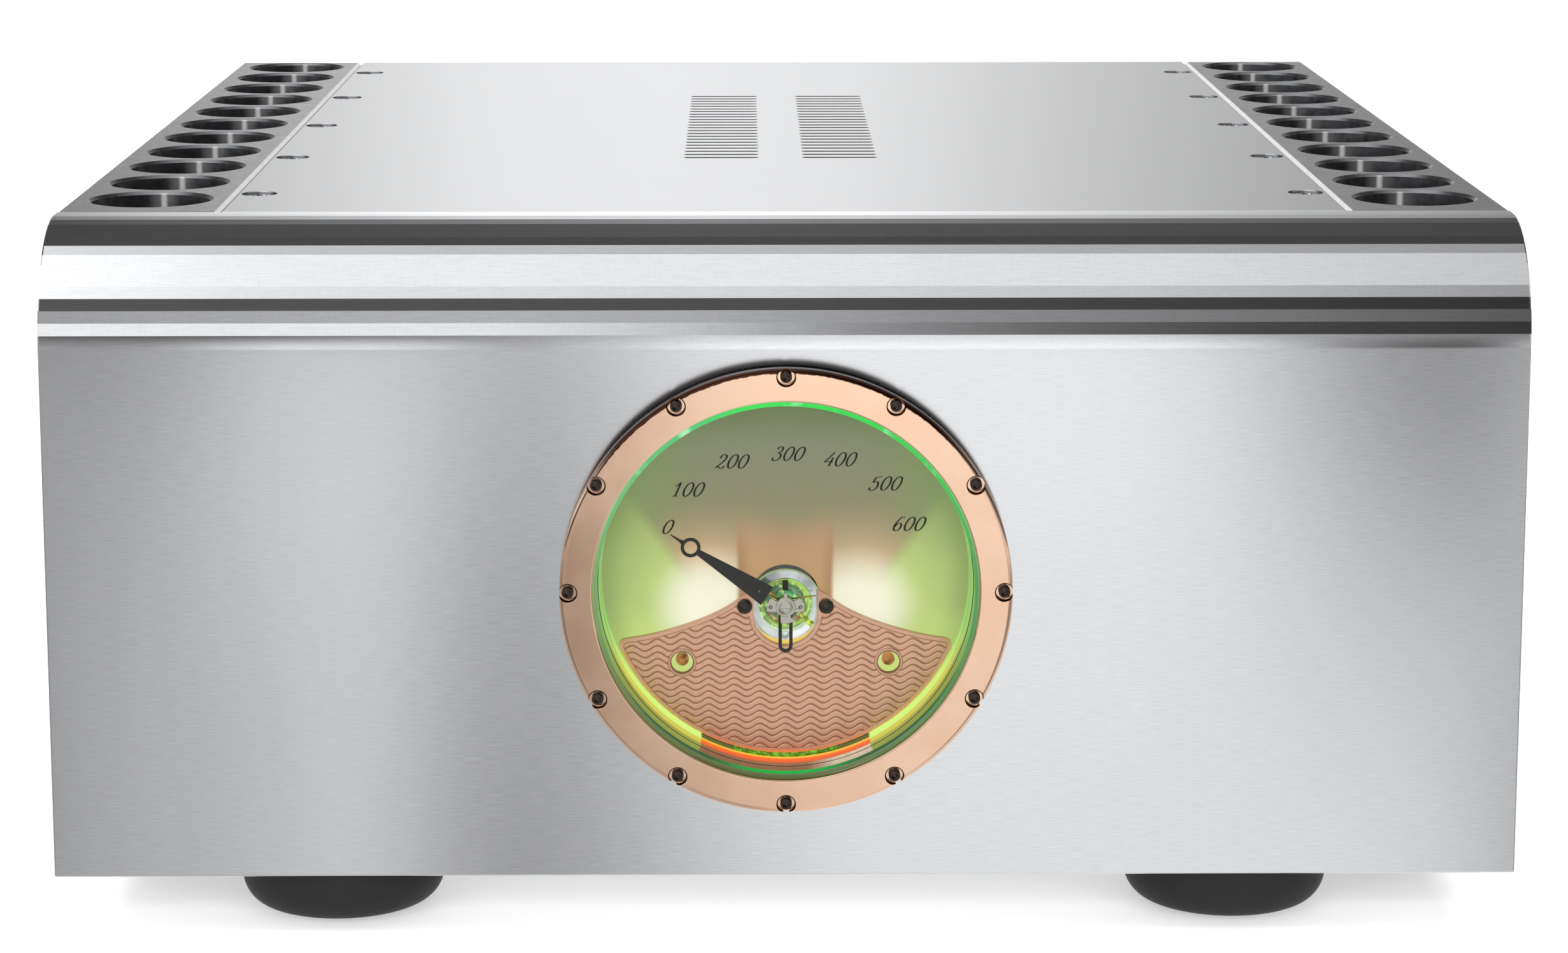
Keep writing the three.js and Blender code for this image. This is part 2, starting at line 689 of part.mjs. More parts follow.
const coreBack = HOUSING_BACK - HOUSING_BACK_T - GAP;
add(movement, 'meter_core', barY(CORE_R, CORE_FRONT, coreBack, 0, 0, 20), finish.steel);
add(movement, 'meter_bridge', meterBridge(), finish.steel);
add(movement, 'meter_zero_fork', zeroFork(), finish.needle);
add(movement, 'meter_coil', meterCoil(), finish.copper);
const needle = add(movement, 'meter_needle', meterNeedle(), finish.needle);
needle.rotation.y = THREE.MathUtils.degToRad(180 + NEEDLE_REST);

// ---------------------------------------------------------------- rear panel and its fittings
const rear = new THREE.Group();
rear.position.y = REAR_FACE_Y;
chassis.add(rear);

const MODULE_FLANGE = [17, 35];      // half width and half height
const MODULE_BARREL = [14.2, 31.5];
const XLR_BARREL_R = 11.7;
const POST_STEM_R = 4;
const FLANGE_T = 2.2;

function centred(halfW, halfH, x = 0, z = 0) {
  return rectangle(x - halfW, z - halfH, x + halfW, z + halfH);
}

function rearPanel() {
  const shape = rectangle(-COVER_HALF_W, BOTTOM_T + GAP, COVER_HALF_W, BODY_H - COVER_T - GAP);
  shape.holes.push(centred(MODULE_BARREL[0] + GAP, MODULE_BARREL[1] + GAP, MODULE_X, MODULE_Z));
  shape.holes.push(circle(XLR_BARREL_R + GAP, XLR_X, XLR_Z, 28));
  for (const side of [-1, 1]) {
    shape.holes.push(circle(POST_STEM_R + GAP, POST_X + side * POST_SPACING / 2, POST_Z, 14));
  }
  return facing(shape, -REAR_T, 0);
}

// Mains module: a socket for the mains lead with three blades, a slot for the fuse drawer
// below it and a well for the rocker above it.
const SOCKET_Z = 1.5;
const SOCKET_HALF = [12.2, 8.2];
const SOCKET_DEPTH = 17;
const DRAWER_Z = -21;
const DRAWER_HALF = [10.6, 3.4];
const DRAWER_L = 22;
const ROCKER_Z = 22;
const ROCKER_HALF_W = 9.4;
const ROCKER_REACH = 7.4;
const WELL_DEPTH = 12;
const MODULE_BACK = -26;
const DRAWER_FACE_OUT = 4.4;
const XLR_FLANGE_HALF = [13, 15.5];
const XLR_BACK = -18;
const XLR_GROOVE_IN_R = 7.6;
const XLR_GROOVE_OUT_R = 9.4;
const XLR_GROOVE_DEPTH = 12;
const XLR_CONTACT_R = 1.5;
const XLR_CONTACT_DEPTH = 9;
const XLR_CONTACT_REACH = 4.4;   // contact holes from the socket's middle
const XLR_LATCH_Z = 12.9;
const XLR_SCREW = [9.5, 12];
const POST_BACK = -15;
const POST_COLLAR_R = 9;
const POST_COLLAR_OUT = 6;
const POST_PLUG_R = 2.1;
const POST_PLUG_START = 12;
const KNOB_FLUTES = 10;
const KNOB_MEAN_R = 8.6;
const KNOB_FLUTE_DEPTH = 0.45;
const KNOB_START = 10.5;
const KNOB_END = 25;

function socketOutline() {
  const [w, h] = SOCKET_HALF;
  const corner = 4.5;
  const low = SOCKET_Z - h;
  const high = SOCKET_Z + h;
  return outline([
    [-w, low], [w, low], [w, high - corner],
    [w - corner, high], [corner - w, high], [-w, high - corner],
  ]);
}

function mainsModule() {
  const body = join([
    facing(centred(...MODULE_FLANGE), GAP, GAP + FLANGE_T),
    facing(centred(...MODULE_BARREL), MODULE_BACK, GAP + 1),
  ]);
  const mouth = GAP + FLANGE_T + 1;
  const hollow = cut(body, [
    facing(socketOutline(), GAP + FLANGE_T - SOCKET_DEPTH, mouth),
    facing(centred(DRAWER_HALF[0] + GAP, DRAWER_HALF[1] + GAP, 0, DRAWER_Z), -DRAWER_L + 1, mouth),
    facing(centred(ROCKER_HALF_W + GAP, ROCKER_REACH + 1.1, 0, ROCKER_Z), -WELL_DEPTH, mouth),
  ]);
  const blade = (x, z) => facing(centred(1, 2, x, SOCKET_Z + z), GAP + FLANGE_T - SOCKET_DEPTH - 1, -2.5);
  return join([hollow, blade(-7, -2), blade(7, -2), blade(0, 2)]);
}

function fuseDrawer() {
  const [w, h] = DRAWER_HALF;
  const face = facing(centred(w + 1.2, h + 1, 0, DRAWER_Z), FLANGE_T + 2 * GAP, DRAWER_FACE_OUT);
  const tray = facing(centred(w, h, 0, DRAWER_Z), -DRAWER_L + 1 + GAP, 3);
  return join([face, tray]);
}

// Rocker, drawn level about its pivot line: two faces that rise to the ends.
function rocker() {
  const section = outline([
    [-2.6, -4.5], [-2.6, 4.5], [0.5, ROCKER_REACH], [5.6, ROCKER_REACH],
    [4.6, 0], [5.6, -ROCKER_REACH], [0.5, -ROCKER_REACH],
  ].reverse());
  return across(section, -ROCKER_HALF_W, ROCKER_HALF_W);
}

// Three-pole audio socket: square flange, round barrel, a ring-shaped groove and three holes.
function audioSocket() {
  const mouth = FLANGE_T + 1;
  const body = join([
    facing(centred(...XLR_FLANGE_HALF), GAP, GAP + FLANGE_T),
    barY(XLR_BARREL_R, XLR_BACK, GAP + 1, 0, 0, 20),
  ]);
  const groove = turned([
    [XLR_GROOVE_IN_R, -XLR_GROOVE_DEPTH],
    [XLR_GROOVE_OUT_R, -XLR_GROOVE_DEPTH],
    [XLR_GROOVE_OUT_R, mouth],
    [XLR_GROOVE_IN_R, mouth],
    [XLR_GROOVE_IN_R, -XLR_GROOVE_DEPTH],
  ], 20);
  const contact = (degrees) => {
    const angle = THREE.MathUtils.degToRad(degrees);
    const x = XLR_CONTACT_REACH * Math.cos(angle);
    const z = XLR_CONTACT_REACH * Math.sin(angle);
    return barY(XLR_CONTACT_R, -XLR_CONTACT_DEPTH, mouth, x, z, 8);
  };
  const latchWindow = facing(centred(3.3, 1.6, 0, XLR_LATCH_Z), GAP - 1, mouth);
  const [holeX, holeZ] = XLR_SCREW;
  const screwHoles = [-1, 1].map((side) => barY(1.6, GAP - 1, mouth, side * holeX, side * holeZ, 8));
  return cut(body, [groove, contact(-90), contact(30), contact(150), latchWindow, ...screwHoles]);
}

// Binding post: insulated collar, threaded stem with a plug hole in its end.
function postBase() {
  return turned([
    [0, POST_BACK],
    [POST_STEM_R - GAP, POST_BACK],
    [POST_STEM_R - GAP, GAP],
    [POST_COLLAR_R, GAP],
    [POST_COLLAR_R, POST_COLLAR_OUT],
    [POST_STEM_R, POST_COLLAR_OUT],
    [POST_STEM_R, POST_OUT],
    [POST_PLUG_R, POST_OUT],
    [POST_PLUG_R, POST_PLUG_START],
    [0, POST_PLUG_START],
  ], 14);
}

// Fluted nut on the stem.
function postKnob() {
  const shape = new THREE.Shape();
  const steps = KNOB_FLUTES * 4;
  for (let i = 0; i < steps; i += 1) {
    const angle = 2 * Math.PI * i / steps;
    const r = KNOB_MEAN_R + KNOB_FLUTE_DEPTH * Math.cos(KNOB_FLUTES * angle);
    shape[i === 0 ? 'moveTo' : 'lineTo'](r * Math.cos(angle), r * Math.sin(angle));
  }
  shape.closePath();
  shape.holes.push(circle(POST_STEM_R + GAP, 0, 0, 14));
  return facing(shape, KNOB_START, KNOB_END);
}

add(rear, 'rear_panel', rearPanel(), finish.cover);

const mains = new THREE.Group();
mains.position.set(MODULE_X, 0, MODULE_Z);
rear.add(mains);
add(mains, 'mains_inlet', mainsModule(), finish.black);
add(mains, 'fuse_drawer', fuseDrawer(), finish.black);
const rockerPiece = add(mains, 'mains_rocker', rocker(), finish.black);
rockerPiece.position.set(0, -3, ROCKER_Z);
rockerPiece.rotation.x = THREE.MathUtils.degToRad(ROCKER_TILT);

const audio = new THREE.Group();
audio.position.set(XLR_X, 0, XLR_Z);
rear.add(audio);
add(audio, 'xlr_socket', audioSocket(), finish.black);
add(audio, 'xlr_latch', facing(centred(3, 1.3, 0, XLR_LATCH_Z), 2, 4.6), finish.steel);

for (const [colour, side] of [['black', -1], ['red', 1]]) {
  const post = new THREE.Group();
  post.position.set(POST_X + side * POST_SPACING / 2, 0, POST_Z);
  rear.add(post);
  add(post, `post_${colour}_base`, postBase(), finish.gold);
  add(post, `post_${colour}_knob`, postKnob(), finish[colour]);
}

// ---------------------------------------------------------------- inside
const FLOOR_Z = BOTTOM_T + GAP;

// Ring-core transformer and the dished plate and bolt that hold it down.
const CORE_OUTER_R = 85;
const CORE_INNER_R = 26;
const CORE_H = 74;
const CORE_ROUND_R = 12;
const TRANSFORMER_Y = 190;
const CLAMP_BOLT_R = 5;
const CLAMP_DISH_R = 45;
const CLAMP_DISH_T = 2.5;
const CLAMP_HEAD_R = 10;
const CLAMP_HEAD_H = 6;
const SUPPLY_Y = 400;
const SUPPLY_HALF = [75, 48];
const SUPPLY_HEIGHT = 10;        // board above the bottom plate, on its legs
const BOARD_T = 2;
const LEG_SPOT = [69, 42];
const LEG_R = 3;
const CAP_SPOT = [26, 23.5];
const CAP_R = 22;
const CAP_TOP = 110;
const OUTPUT_HALF_L = 150;
const OUTPUT_LOW = 40;
const OUTPUT_HIGH = 165;
const OUTPUT_STAND = 6;          // board from the block's inner face
const TRANSISTORS = 6;
const TRANSISTOR_PITCH = 50;
const SMALL_CAPS = 3;
const SMALL_CAP_PITCH = 90;

function transformer() {
  const r = CORE_ROUND_R;
  const corners = [];
  for (const [centreR, centreZ, start] of [
    [CORE_OUTER_R - r, r, -90], [CORE_OUTER_R - r, CORE_H - r, 0],
    [CORE_INNER_R + r, CORE_H - r, 90], [CORE_INNER_R + r, r, 180],
  ]) {
    for (let step = 0; step <= 2; step += 1) {
      const angle = THREE.MathUtils.degToRad(start + 45 * step);
      corners.push([centreR + r * Math.cos(angle), centreZ + r * Math.sin(angle)]);
    }
  }
  corners.push(corners[0]);
  return turnedUpright(corners, 20);
}

function transformerClamp() {
  const dishLow = CORE_H + 0.5;
  const dishHigh = dishLow + CLAMP_DISH_T;
  return turnedUpright([
    [0, 0],
    [CLAMP_BOLT_R, 0],
    [CLAMP_BOLT_R, CORE_H],
    [2 * CLAMP_HEAD_R, CORE_H],
    [2 * CLAMP_HEAD_R, dishLow],
    [CLAMP_DISH_R, dishLow],
    [CLAMP_DISH_R, dishHigh],
    [CLAMP_HEAD_R, dishHigh],
    [CLAMP_HEAD_R, dishHigh + CLAMP_HEAD_H],
    [0, dishHigh + CLAMP_HEAD_H],
  ], 14);
}

// Rectifier board on four legs, with four reservoir capacitors soldered upright on it.
function supplyBoard() {
  const [w, l] = SUPPLY_HALF;
  const [legX, legY] = LEG_SPOT;
  const [capX, capY] = CAP_SPOT;
  const inBoard = SUPPLY_HEIGHT + BOARD_T / 2;
  const pieces = [block([-w, -l, SUPPLY_HEIGHT], [w, l, SUPPLY_HEIGHT + BOARD_T])];
  for (const x of [-1, 1]) {
    for (const y of [-1, 1]) {
      pieces.push(barZ(LEG_R, 0, inBoard, x * legX, y * legY, 8));
      pieces.push(barZ(CAP_R, inBoard, CAP_TOP, x * capX, y * capY, 14));
    }
  }
  pieces.push(block([54, -30, inBoard], [70, 30, 34]));
  return join(pieces);
}

// Output stage on a block's inner face: a board, a row of power transistors between the board
// and the metal, and small capacitors on its free side.
function outputBoard(side) {
  const wall = SINK_INNER_X - GAP;
  const slab = (near, far, y, halfL, low, high) => {
    const [a, b] = [side * (wall - near), side * (wall - far)].sort((p, q) => p - q);
    return block([a, y - halfL, low], [b, y + halfL, high]);
  };
  const spread = (i, count, pitch) => (i - (count - 1) / 2) * pitch;
  const outside = OUTPUT_STAND + BOARD_T;
  const pieces = [slab(OUTPUT_STAND, outside, 0, OUTPUT_HALF_L, OUTPUT_LOW, OUTPUT_HIGH)];
  for (let i = 0; i < TRANSISTORS; i += 1) {
    const y = spread(i, TRANSISTORS, TRANSISTOR_PITCH);
    pieces.push(slab(0, OUTPUT_STAND + 0.5, y, 10, 60, 88));
  }
  for (let i = 0; i < SMALL_CAPS; i += 1) {
    const y = spread(i, SMALL_CAPS, SMALL_CAP_PITCH);
    pieces.push(slab(outside - 0.5, 30, y, 9, 105, 123));
  }
  return join(pieces);
}

function inside(name, geometry, material, x, y, z) {
  add(chassis, name, geometry, material).position.set(x, y, z);
}

inside('transformer', transformer(), finish.winding, 0, TRANSFORMER_Y, FLOOR_Z);
inside('transformer_clamp', transformerClamp(), finish.steel, 0, TRANSFORMER_Y, FLOOR_Z);
inside('supply_board', supplyBoard(), finish.board, 0, SUPPLY_Y, FLOOR_Z);
inside('output_board_left', outputBoard(-1), finish.board, 0, BODY_D / 2, 0);
inside('output_board_right', outputBoard(1), finish.board, 0, BODY_D / 2, 0);

export default group;
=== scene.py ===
"""Looks of the power amplifier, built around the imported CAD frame.

Shapes are worked out in millimetres in the chassis frame of the CAD model: x = 0 is the middle,
y = 0 the face of the front panel (running back) and z = 0 the underside of the body.
"""

from math import atan2, cos, degrees, pi, radians, sin, sqrt

import bmesh
import bpy
from mathutils import Matrix, Vector

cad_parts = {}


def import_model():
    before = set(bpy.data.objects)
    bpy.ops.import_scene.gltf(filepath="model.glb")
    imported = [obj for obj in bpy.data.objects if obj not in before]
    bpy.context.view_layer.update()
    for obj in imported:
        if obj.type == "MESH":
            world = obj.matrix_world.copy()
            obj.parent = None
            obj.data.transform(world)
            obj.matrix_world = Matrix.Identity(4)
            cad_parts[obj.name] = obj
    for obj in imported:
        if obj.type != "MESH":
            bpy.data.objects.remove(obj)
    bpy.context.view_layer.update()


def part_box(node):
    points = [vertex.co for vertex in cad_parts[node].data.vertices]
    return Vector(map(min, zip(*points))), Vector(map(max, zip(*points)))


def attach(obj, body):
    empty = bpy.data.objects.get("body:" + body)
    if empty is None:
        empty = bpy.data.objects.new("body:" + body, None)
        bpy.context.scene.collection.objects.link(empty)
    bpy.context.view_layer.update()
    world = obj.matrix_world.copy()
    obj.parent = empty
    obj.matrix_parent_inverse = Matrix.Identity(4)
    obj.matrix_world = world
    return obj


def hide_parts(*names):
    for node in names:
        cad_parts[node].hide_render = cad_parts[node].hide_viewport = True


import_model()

MM = 0.001
PANEL_LOW, PANEL_HIGH = (Vector(c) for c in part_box("front_panel"))
ORIGIN = Vector((0, PANEL_LOW.y, PANEL_LOW.z))
CHASSIS = "chassis"


def span(node):
    """A node's lowest and highest corners, in chassis millimetres."""
    return [(Vector(c) - ORIGIN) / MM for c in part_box(node)]


def middle(node):
    low, high = span(node)
    return (low + high) / 2


BODY_W = 2 * span("front_panel")[1].x
BODY_H = span("front_panel")[1].z
PANEL_T = span("front_panel")[1].y
BODY_D = span("heatsink_left")[1].y
METER_Z = middle("meter_bezel").z
METER_AXIS = (0, 0, METER_Z)
PIVOT_Z = middle("meter_core").z
GAP = 0.3
METER_HOLE_R = 66
SINK_W = 50.8
LEDGE_W = 14
LEDGE_H = 11
LEDGE_INSET = 6.3
LEDGE_DROP = 19.3
FLUE_R = 19.1
FLUE_COUNT = 11
FLUE_PITCH = 42.9
FLUE_FIRST = 30.8
FAN_Y = span("meter_fan_plate")[0].y
FAN_SCREW_X = 12.7
FAN_SCREW_Z = -9.2
LAMP_X = middle("lamp_right").x
LAMP_Z = middle("lamp_right").z - METER_Z
FLANGE_Z = PIVOT_Z - 1.2


# ------------------------------------------------------------------ mesh helpers
def world(point):
    return ORIGIN + Vector(point) * MM


def add_object(name, data):
    made = bpy.data.objects.new(name, data)
    bpy.context.scene.collection.objects.link(made)
    return made


def finish_mesh(name, bm, material, slot=None, replaces=(), body=CHASSIS, sharp=30, merge=1e-6):
    """Turns a bmesh in world metres into a piece that rides on a body."""
    bmesh.ops.remove_doubles(bm, verts=bm.verts, dist=merge)
    bmesh.ops.dissolve_degenerate(bm, edges=bm.edges, dist=1e-7)
    bmesh.ops.recalc_face_normals(bm, faces=bm.faces)
    mesh = bpy.data.meshes.new(name)
    bm.to_mesh(mesh)
    bm.free()
    piece = add_object(name, mesh)
    mesh.materials.append(material)
    shade(piece, sharp)
    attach(piece, body)
    if replaces:
        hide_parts(replaces)
    return piece


def shade(piece, sharp):
    piece.data.shade_smooth()
    piece.data.set_sharp_from_angle(angle=radians(sharp))
    return piece


def modified(piece, kind, sharp=None, **settings):
    """Adds one modifier and bakes it into the mesh."""
    modifier = piece.modifiers.new(kind, kind)
    for key, value in settings.items():
        setattr(modifier, key, value)
    mesh = bpy.data.meshes.new_from_object(piece.evaluated_get(bpy.context.evaluated_depsgraph_get()))
    old = piece.data
    piece.modifiers.clear()
    piece.data = mesh
    mesh.name = old.name
    bpy.data.meshes.remove(old)
    return shade(piece, sharp) if sharp else piece


def combined(piece, bm, operation="DIFFERENCE", sharp=None):
    """Cuts a bmesh out of a piece, or keeps only what both share."""
    if operation == "DIFFERENCE":
        bmesh.ops.recalc_face_normals(bm, faces=bm.faces)
    cutter = loose(bm)
    modified(piece, "BOOLEAN", sharp, operation=operation, solver="EXACT", object=cutter)
    bpy.data.objects.remove(cutter)
    return piece


def loose(bm):
    mesh = bpy.data.meshes.new("loose")
    bm.to_mesh(mesh)
    bm.free()
    return add_object("loose", mesh)


def loft(bm, rings, caps=False):
    """Joins rings of points (chassis mm); a ring of one point closes an end with a fan."""
    made = [[bm.verts.new(world(p)) for p in ring] for ring in rings]
    for a, b in zip(made, made[1:]):
        count = max(len(a), len(b))
        for i in range(count):
            j = (i + 1) % count
            if len(a) == 1:
                bm.faces.new((a[0], b[j], b[i]))
            elif len(b) == 1:
                bm.faces.new((a[i], a[j], b[0]))
            else:
                bm.faces.new((a[i], a[j], b[j], b[i]))
    if caps:
        bm.faces.new(made[0])
        bm.faces.new(reversed(made[-1]))


def lathe(bm, profile, centre, axis="y", sides=96):
    """Turns (radius, along) corners about an axis; radius 0 closes an end.

    A third item, shape(angle), scales the radius for hexagons and flutes.
    """
    rings = []
    for radius, t, *shape in profile:
        ring = []
        for i in range(sides if radius else 1):
            angle = 2 * pi * i / sides
            r = radius * (shape[0](angle) if shape else 1)
            u, v = r * cos(angle), r * sin(angle)
            offset = (u, t, v) if axis == "y" else (u, v, t)
            ring.append(tuple(c + o for c, o in zip(centre, offset)))
        rings.append(ring)
    loft(bm, rings)


def hexagon(flats, radius):
    """Scale that turns a circle of this radius into a hexagon of this width across flats."""
    def shape(angle):
        part = (angle + pi / 6) % (pi / 3) - pi / 6
        return flats / 2 / cos(part) / radius
    return shape


def turned(name, profile, centre, material, slot, replaces=(), sides=96, axis="y", **kwargs):
    bm = bmesh.new()
    lathe(bm, profile, centre, axis, sides)
    return finish_mesh(name, bm, material, slot, replaces, **kwargs)


AXES = {
    "z": Matrix(((1, 0, 0), (0, 1, 0), (0, 0, 1))),
    "y": Matrix(((1, 0, 0), (0, 0, -1), (0, 1, 0))),
    "x": Matrix(((0, 0, 1), (1, 0, 0), (0, 1, 0))),
}


def add_sheet(bm, outer, holes, low, high, axis="y", chamfer=0.4, centre=(0, 0, 0), rounds=0):
    """Adds a flat plate with holes and chamfered edges, from outlines in two axes (mm).

    axis "z" takes (x, y) outlines, "y" takes (x, z) with low towards the front, "x" takes (y, z).
    """
    curve = bpy.data.curves.new("outline", "CURVE")
    curve.dimensions = "2D"
    curve.fill_mode = "BOTH"
    for points in [outer, *holes]:
        spline = curve.splines.new("POLY")
        spline.points.add(len(points) - 1)
        for point, (u, v) in zip(spline.points, points):
            point.co = (u, v, 0, 1)
        spline.use_cyclic_u = True
    curve.extrude = (high - low) / 2 - chamfer
    curve.bevel_depth = chamfer
    curve.bevel_resolution = rounds
    curve.offset = -chamfer
    holder = add_object("outline", curve)
    mesh = bpy.data.meshes.new_from_object(holder.evaluated_get(bpy.context.evaluated_depsgraph_get()))
    bpy.data.objects.remove(holder)
    bpy.data.curves.remove(curve)
    turn = AXES[axis]
    along = turn @ Vector((0, 0, 1)) * ((low + high) / 2) * (-1 if axis == "y" else 1)
    for vert in mesh.vertices:
        vert.co = world(turn @ vert.co + along + Vector(centre))
    bm.from_mesh(mesh)
    bpy.data.meshes.remove(mesh)


def plate(name, material, slot, replaces, *sheet, sharp=25, body=CHASSIS, **kwargs):
    bm = bmesh.new()
    add_sheet(bm, *sheet, **kwargs)
    return finish_mesh(name, bm, material, slot, replaces, body, sharp)


def assembly(name, material, slot, replaces=(), sheets=(), turnings=(), sharp=25, merge=1e-7, **kwargs):
    """One piece from several closed sheets and turned parts."""
    bm = bmesh.new()
    for sheet in sheets:
        add_sheet(bm, *sheet)
    for turning in turnings:
        lathe(bm, *turning)
    return finish_mesh(name, bm, material, slot, replaces, sharp=sharp, merge=merge, **kwargs)


def rectangle(left, low, right, high):
    return [(left, low), (right, low), (right, high), (left, high)]


def circle(radius, u=0, v=0, sides=64):
    turns = [2 * pi * i / sides for i in range(sides)]
    return [(u + radius * cos(a), v + radius * sin(a)) for a in turns]


def arc(radius, start, end, u=0, v=0, steps=12):
    """Points on an arc, angles in degrees."""
    angles = [radians(start + (end - start) * i / steps) for i in range(steps + 1)]
    return [(u + radius * cos(a), v + radius * sin(a)) for a in angles]


def rounded(left, low, right, high, radius, steps=6):
    corners = [
        (right - radius, low + radius, -90), (right - radius, high - radius, 0),
        (left + radius, high - radius, 90), (left + radius, low + radius, 180),
    ]
    return [p for u, v, start in corners for p in arc(radius, start, start + 90, u, v, steps)]


def brushed_along(piece, direction):
    """Adds a UV map whose first axis runs across the brushing, where the metal scatters most."""
    mesh = piece.data
    layer = mesh.uv_layers.new(name="grain")
    along = Vector(direction)
    for polygon in mesh.polygons:
        side = polygon.normal.cross(along)
        side = side.normalized() if side.length > 0.1 else Vector((0, 0, 1))
        for loop in polygon.loop_indices:
            co = mesh.vertices[mesh.loops[loop].vertex_index].co
            layer.data[loop].uv = (co.dot(side), co.dot(along))


# ------------------------------------------------------------------ shader helpers
def operation(kind, flipped=False):
    def apply(self, other=0):
        return self.look.math(kind, *((other, self) if flipped else (self, other)))
    return apply


class Value:
    """A node's output; arithmetic on it adds math nodes."""

    def __init__(self, look, socket):
        self.look = look
        self.socket = socket

    __add__ = __radd__ = operation("ADD")
    __sub__ = operation("SUBTRACT")
    __rsub__ = operation("SUBTRACT", True)
    __mul__ = __rmul__ = operation("MULTIPLY")
    __truediv__ = operation("DIVIDE")
    __mod__ = operation("MODULO")
    __abs__ = operation("ABSOLUTE")


class Look:
    """A material or world with the node tree that gives its look."""

    def __init__(self, owner):
        owner.use_nodes = True
        self.owner = owner
        self.tree = owner.node_tree

    def new(self, kind, *values, **settings):
        """A node with its settings and its first inputs given."""
        node = self.tree.nodes.new(kind)
        for key, value in settings.items():
            setattr(node, key, value)
        for value, socket in zip(values, node.inputs):
            self.link(value, socket)
        return node

    def out(self, kind, *values, output=0, **settings):
        return Value(self, self.new(kind, *values, **settings).outputs[output])

    def link(self, value, socket):
        if isinstance(value, Value):
            self.tree.links.new(value.socket, socket)
        else:
            socket.default_value = rgba(value) if isinstance(value, tuple) and len(value) == 3 else value

    def set(self, **inputs):
        """Sets or links inputs of the surface shader, such as base_color."""
        for key, value in inputs.items():
            self.link(value, self.tree.nodes["Principled BSDF"].inputs[key.replace("_", " ").title()])
        return self.owner

    def math(self, kind, *values):
        return self.out("ShaderNodeMath", *values, operation=kind)

    def where(self):
        """Position in chassis millimetres, as a vector."""
        place = self.out("ShaderNodeTexCoord", output="Object")
        moved = self.new("ShaderNodeVectorMath", place, operation="SUBTRACT")
        moved.inputs[1].default_value = ORIGIN
        scaled = self.new("ShaderNodeVectorMath", Value(self, moved.outputs[0]), operation="SCALE")
        scaled.inputs["Scale"].default_value = 1 / MM
        return Value(self, scaled.outputs[0])

    def split(self, vector):
        return [Value(self, part) for part in self.new("ShaderNodeSeparateXYZ", vector).outputs]

    def noise(self, scale, detail=3, stretch=(1, 1, 1)):
        mapping = self.new("ShaderNodeMapping", self.where())
        mapping.inputs["Scale"].default_value = stretch
        texture = self.new("ShaderNodeTexNoise", Value(self, mapping.outputs[0]))
        texture.inputs["Scale"].default_value = scale
        texture.inputs["Detail"].default_value = detail
        return Value(self, texture.outputs["Fac"])

    def brush(self):
        """Streaks that follow the brushing of the metal."""
        tangent = self.out("ShaderNodeTangent", direction_type="UV_MAP", uv_map="grain")
        return self.set(anisotropic=0.8, tangent=tangent)


def step(value, start=0.3, end=0.7, low=0, high=1):
    """Smooth change from low to high as value goes from start to end."""
    return value.look.out("ShaderNodeMapRange", value, start, end, low, high,
        interpolation_type="SMOOTHSTEP")


def ramp(value, stops):
    """Colour along a value from 0 to 1, through (position, colour) stops."""
    node = value.look.new("ShaderNodeValToRGB", value)
    elements = node.color_ramp.elements
    while len(elements) < len(stops):
        elements.new(0.5)
    for element, (position, colour) in zip(elements, stops):
        element.position = position
        element.color = rgba(colour)
    return Value(value.look, node.outputs["Color"])


def length(x, y):
    return x.look.math("SQRT", x * x + y * y)


def mix(factor, a, b):
    look = factor.look
    node = look.new("ShaderNodeMix", data_type="RGBA", blend_type="MIX", clamp_factor=True)
    for value, socket in ((factor, node.inputs["Factor"]), (a, node.inputs[6]), (b, node.inputs[7])):
        look.link(value, socket)
    return Value(look, node.outputs[2])


def rgba(colour):
    return (*colour, 1)


def srgb(r, g, b):
    """Colour values from 0 to 255 as the shader's linear ones."""
    return tuple(((c / 255 + 0.055) / 1.055) ** 2.4 if c > 10 else c / 255 / 12.92 for c in (r, g, b))


def material(name, colour, roughness, metallic=0):
    look = Look(bpy.data.materials.new(name))
    look.set(base_color=colour, roughness=roughness, metallic=metallic)
    return look


def varied(name, colour, roughness, metallic, scale, colour_swing, rough_swing, bump=0,
           stretch=(1, 1, 1), detail=3):
    """Grain in colour, roughness and height from one stretched noise."""
    look = material(name, colour, roughness, metallic)
    grain = look.noise(scale, detail, stretch)
    dark = tuple(c * (1 - colour_swing) for c in colour)
    light = tuple(min(1, c * (1 + colour_swing)) for c in colour)
    look.set(base_color=mix(step(grain), dark, light),
             roughness=step(grain, 0.25, 0.75, roughness - rough_swing, roughness + rough_swing))
    if bump:
        node = look.new("ShaderNodeBump")
        node.inputs["Strength"].default_value = 1
        node.inputs["Distance"].default_value = bump * MM
        look.link(grain, node.inputs["Height"])
        look.set(normal=Value(look, node.outputs[0]))
    return look.owner


def plain_metal(name, colour, roughness, scale=0.6, colour_swing=0.05):
    return varied(name, colour, roughness, 1, scale, colour_swing, 0.03)


def moulded(name, colour, roughness, scale=3, bump=0.01):
    return varied(name, colour, roughness, 0, scale, 0.12, 0.05, bump)


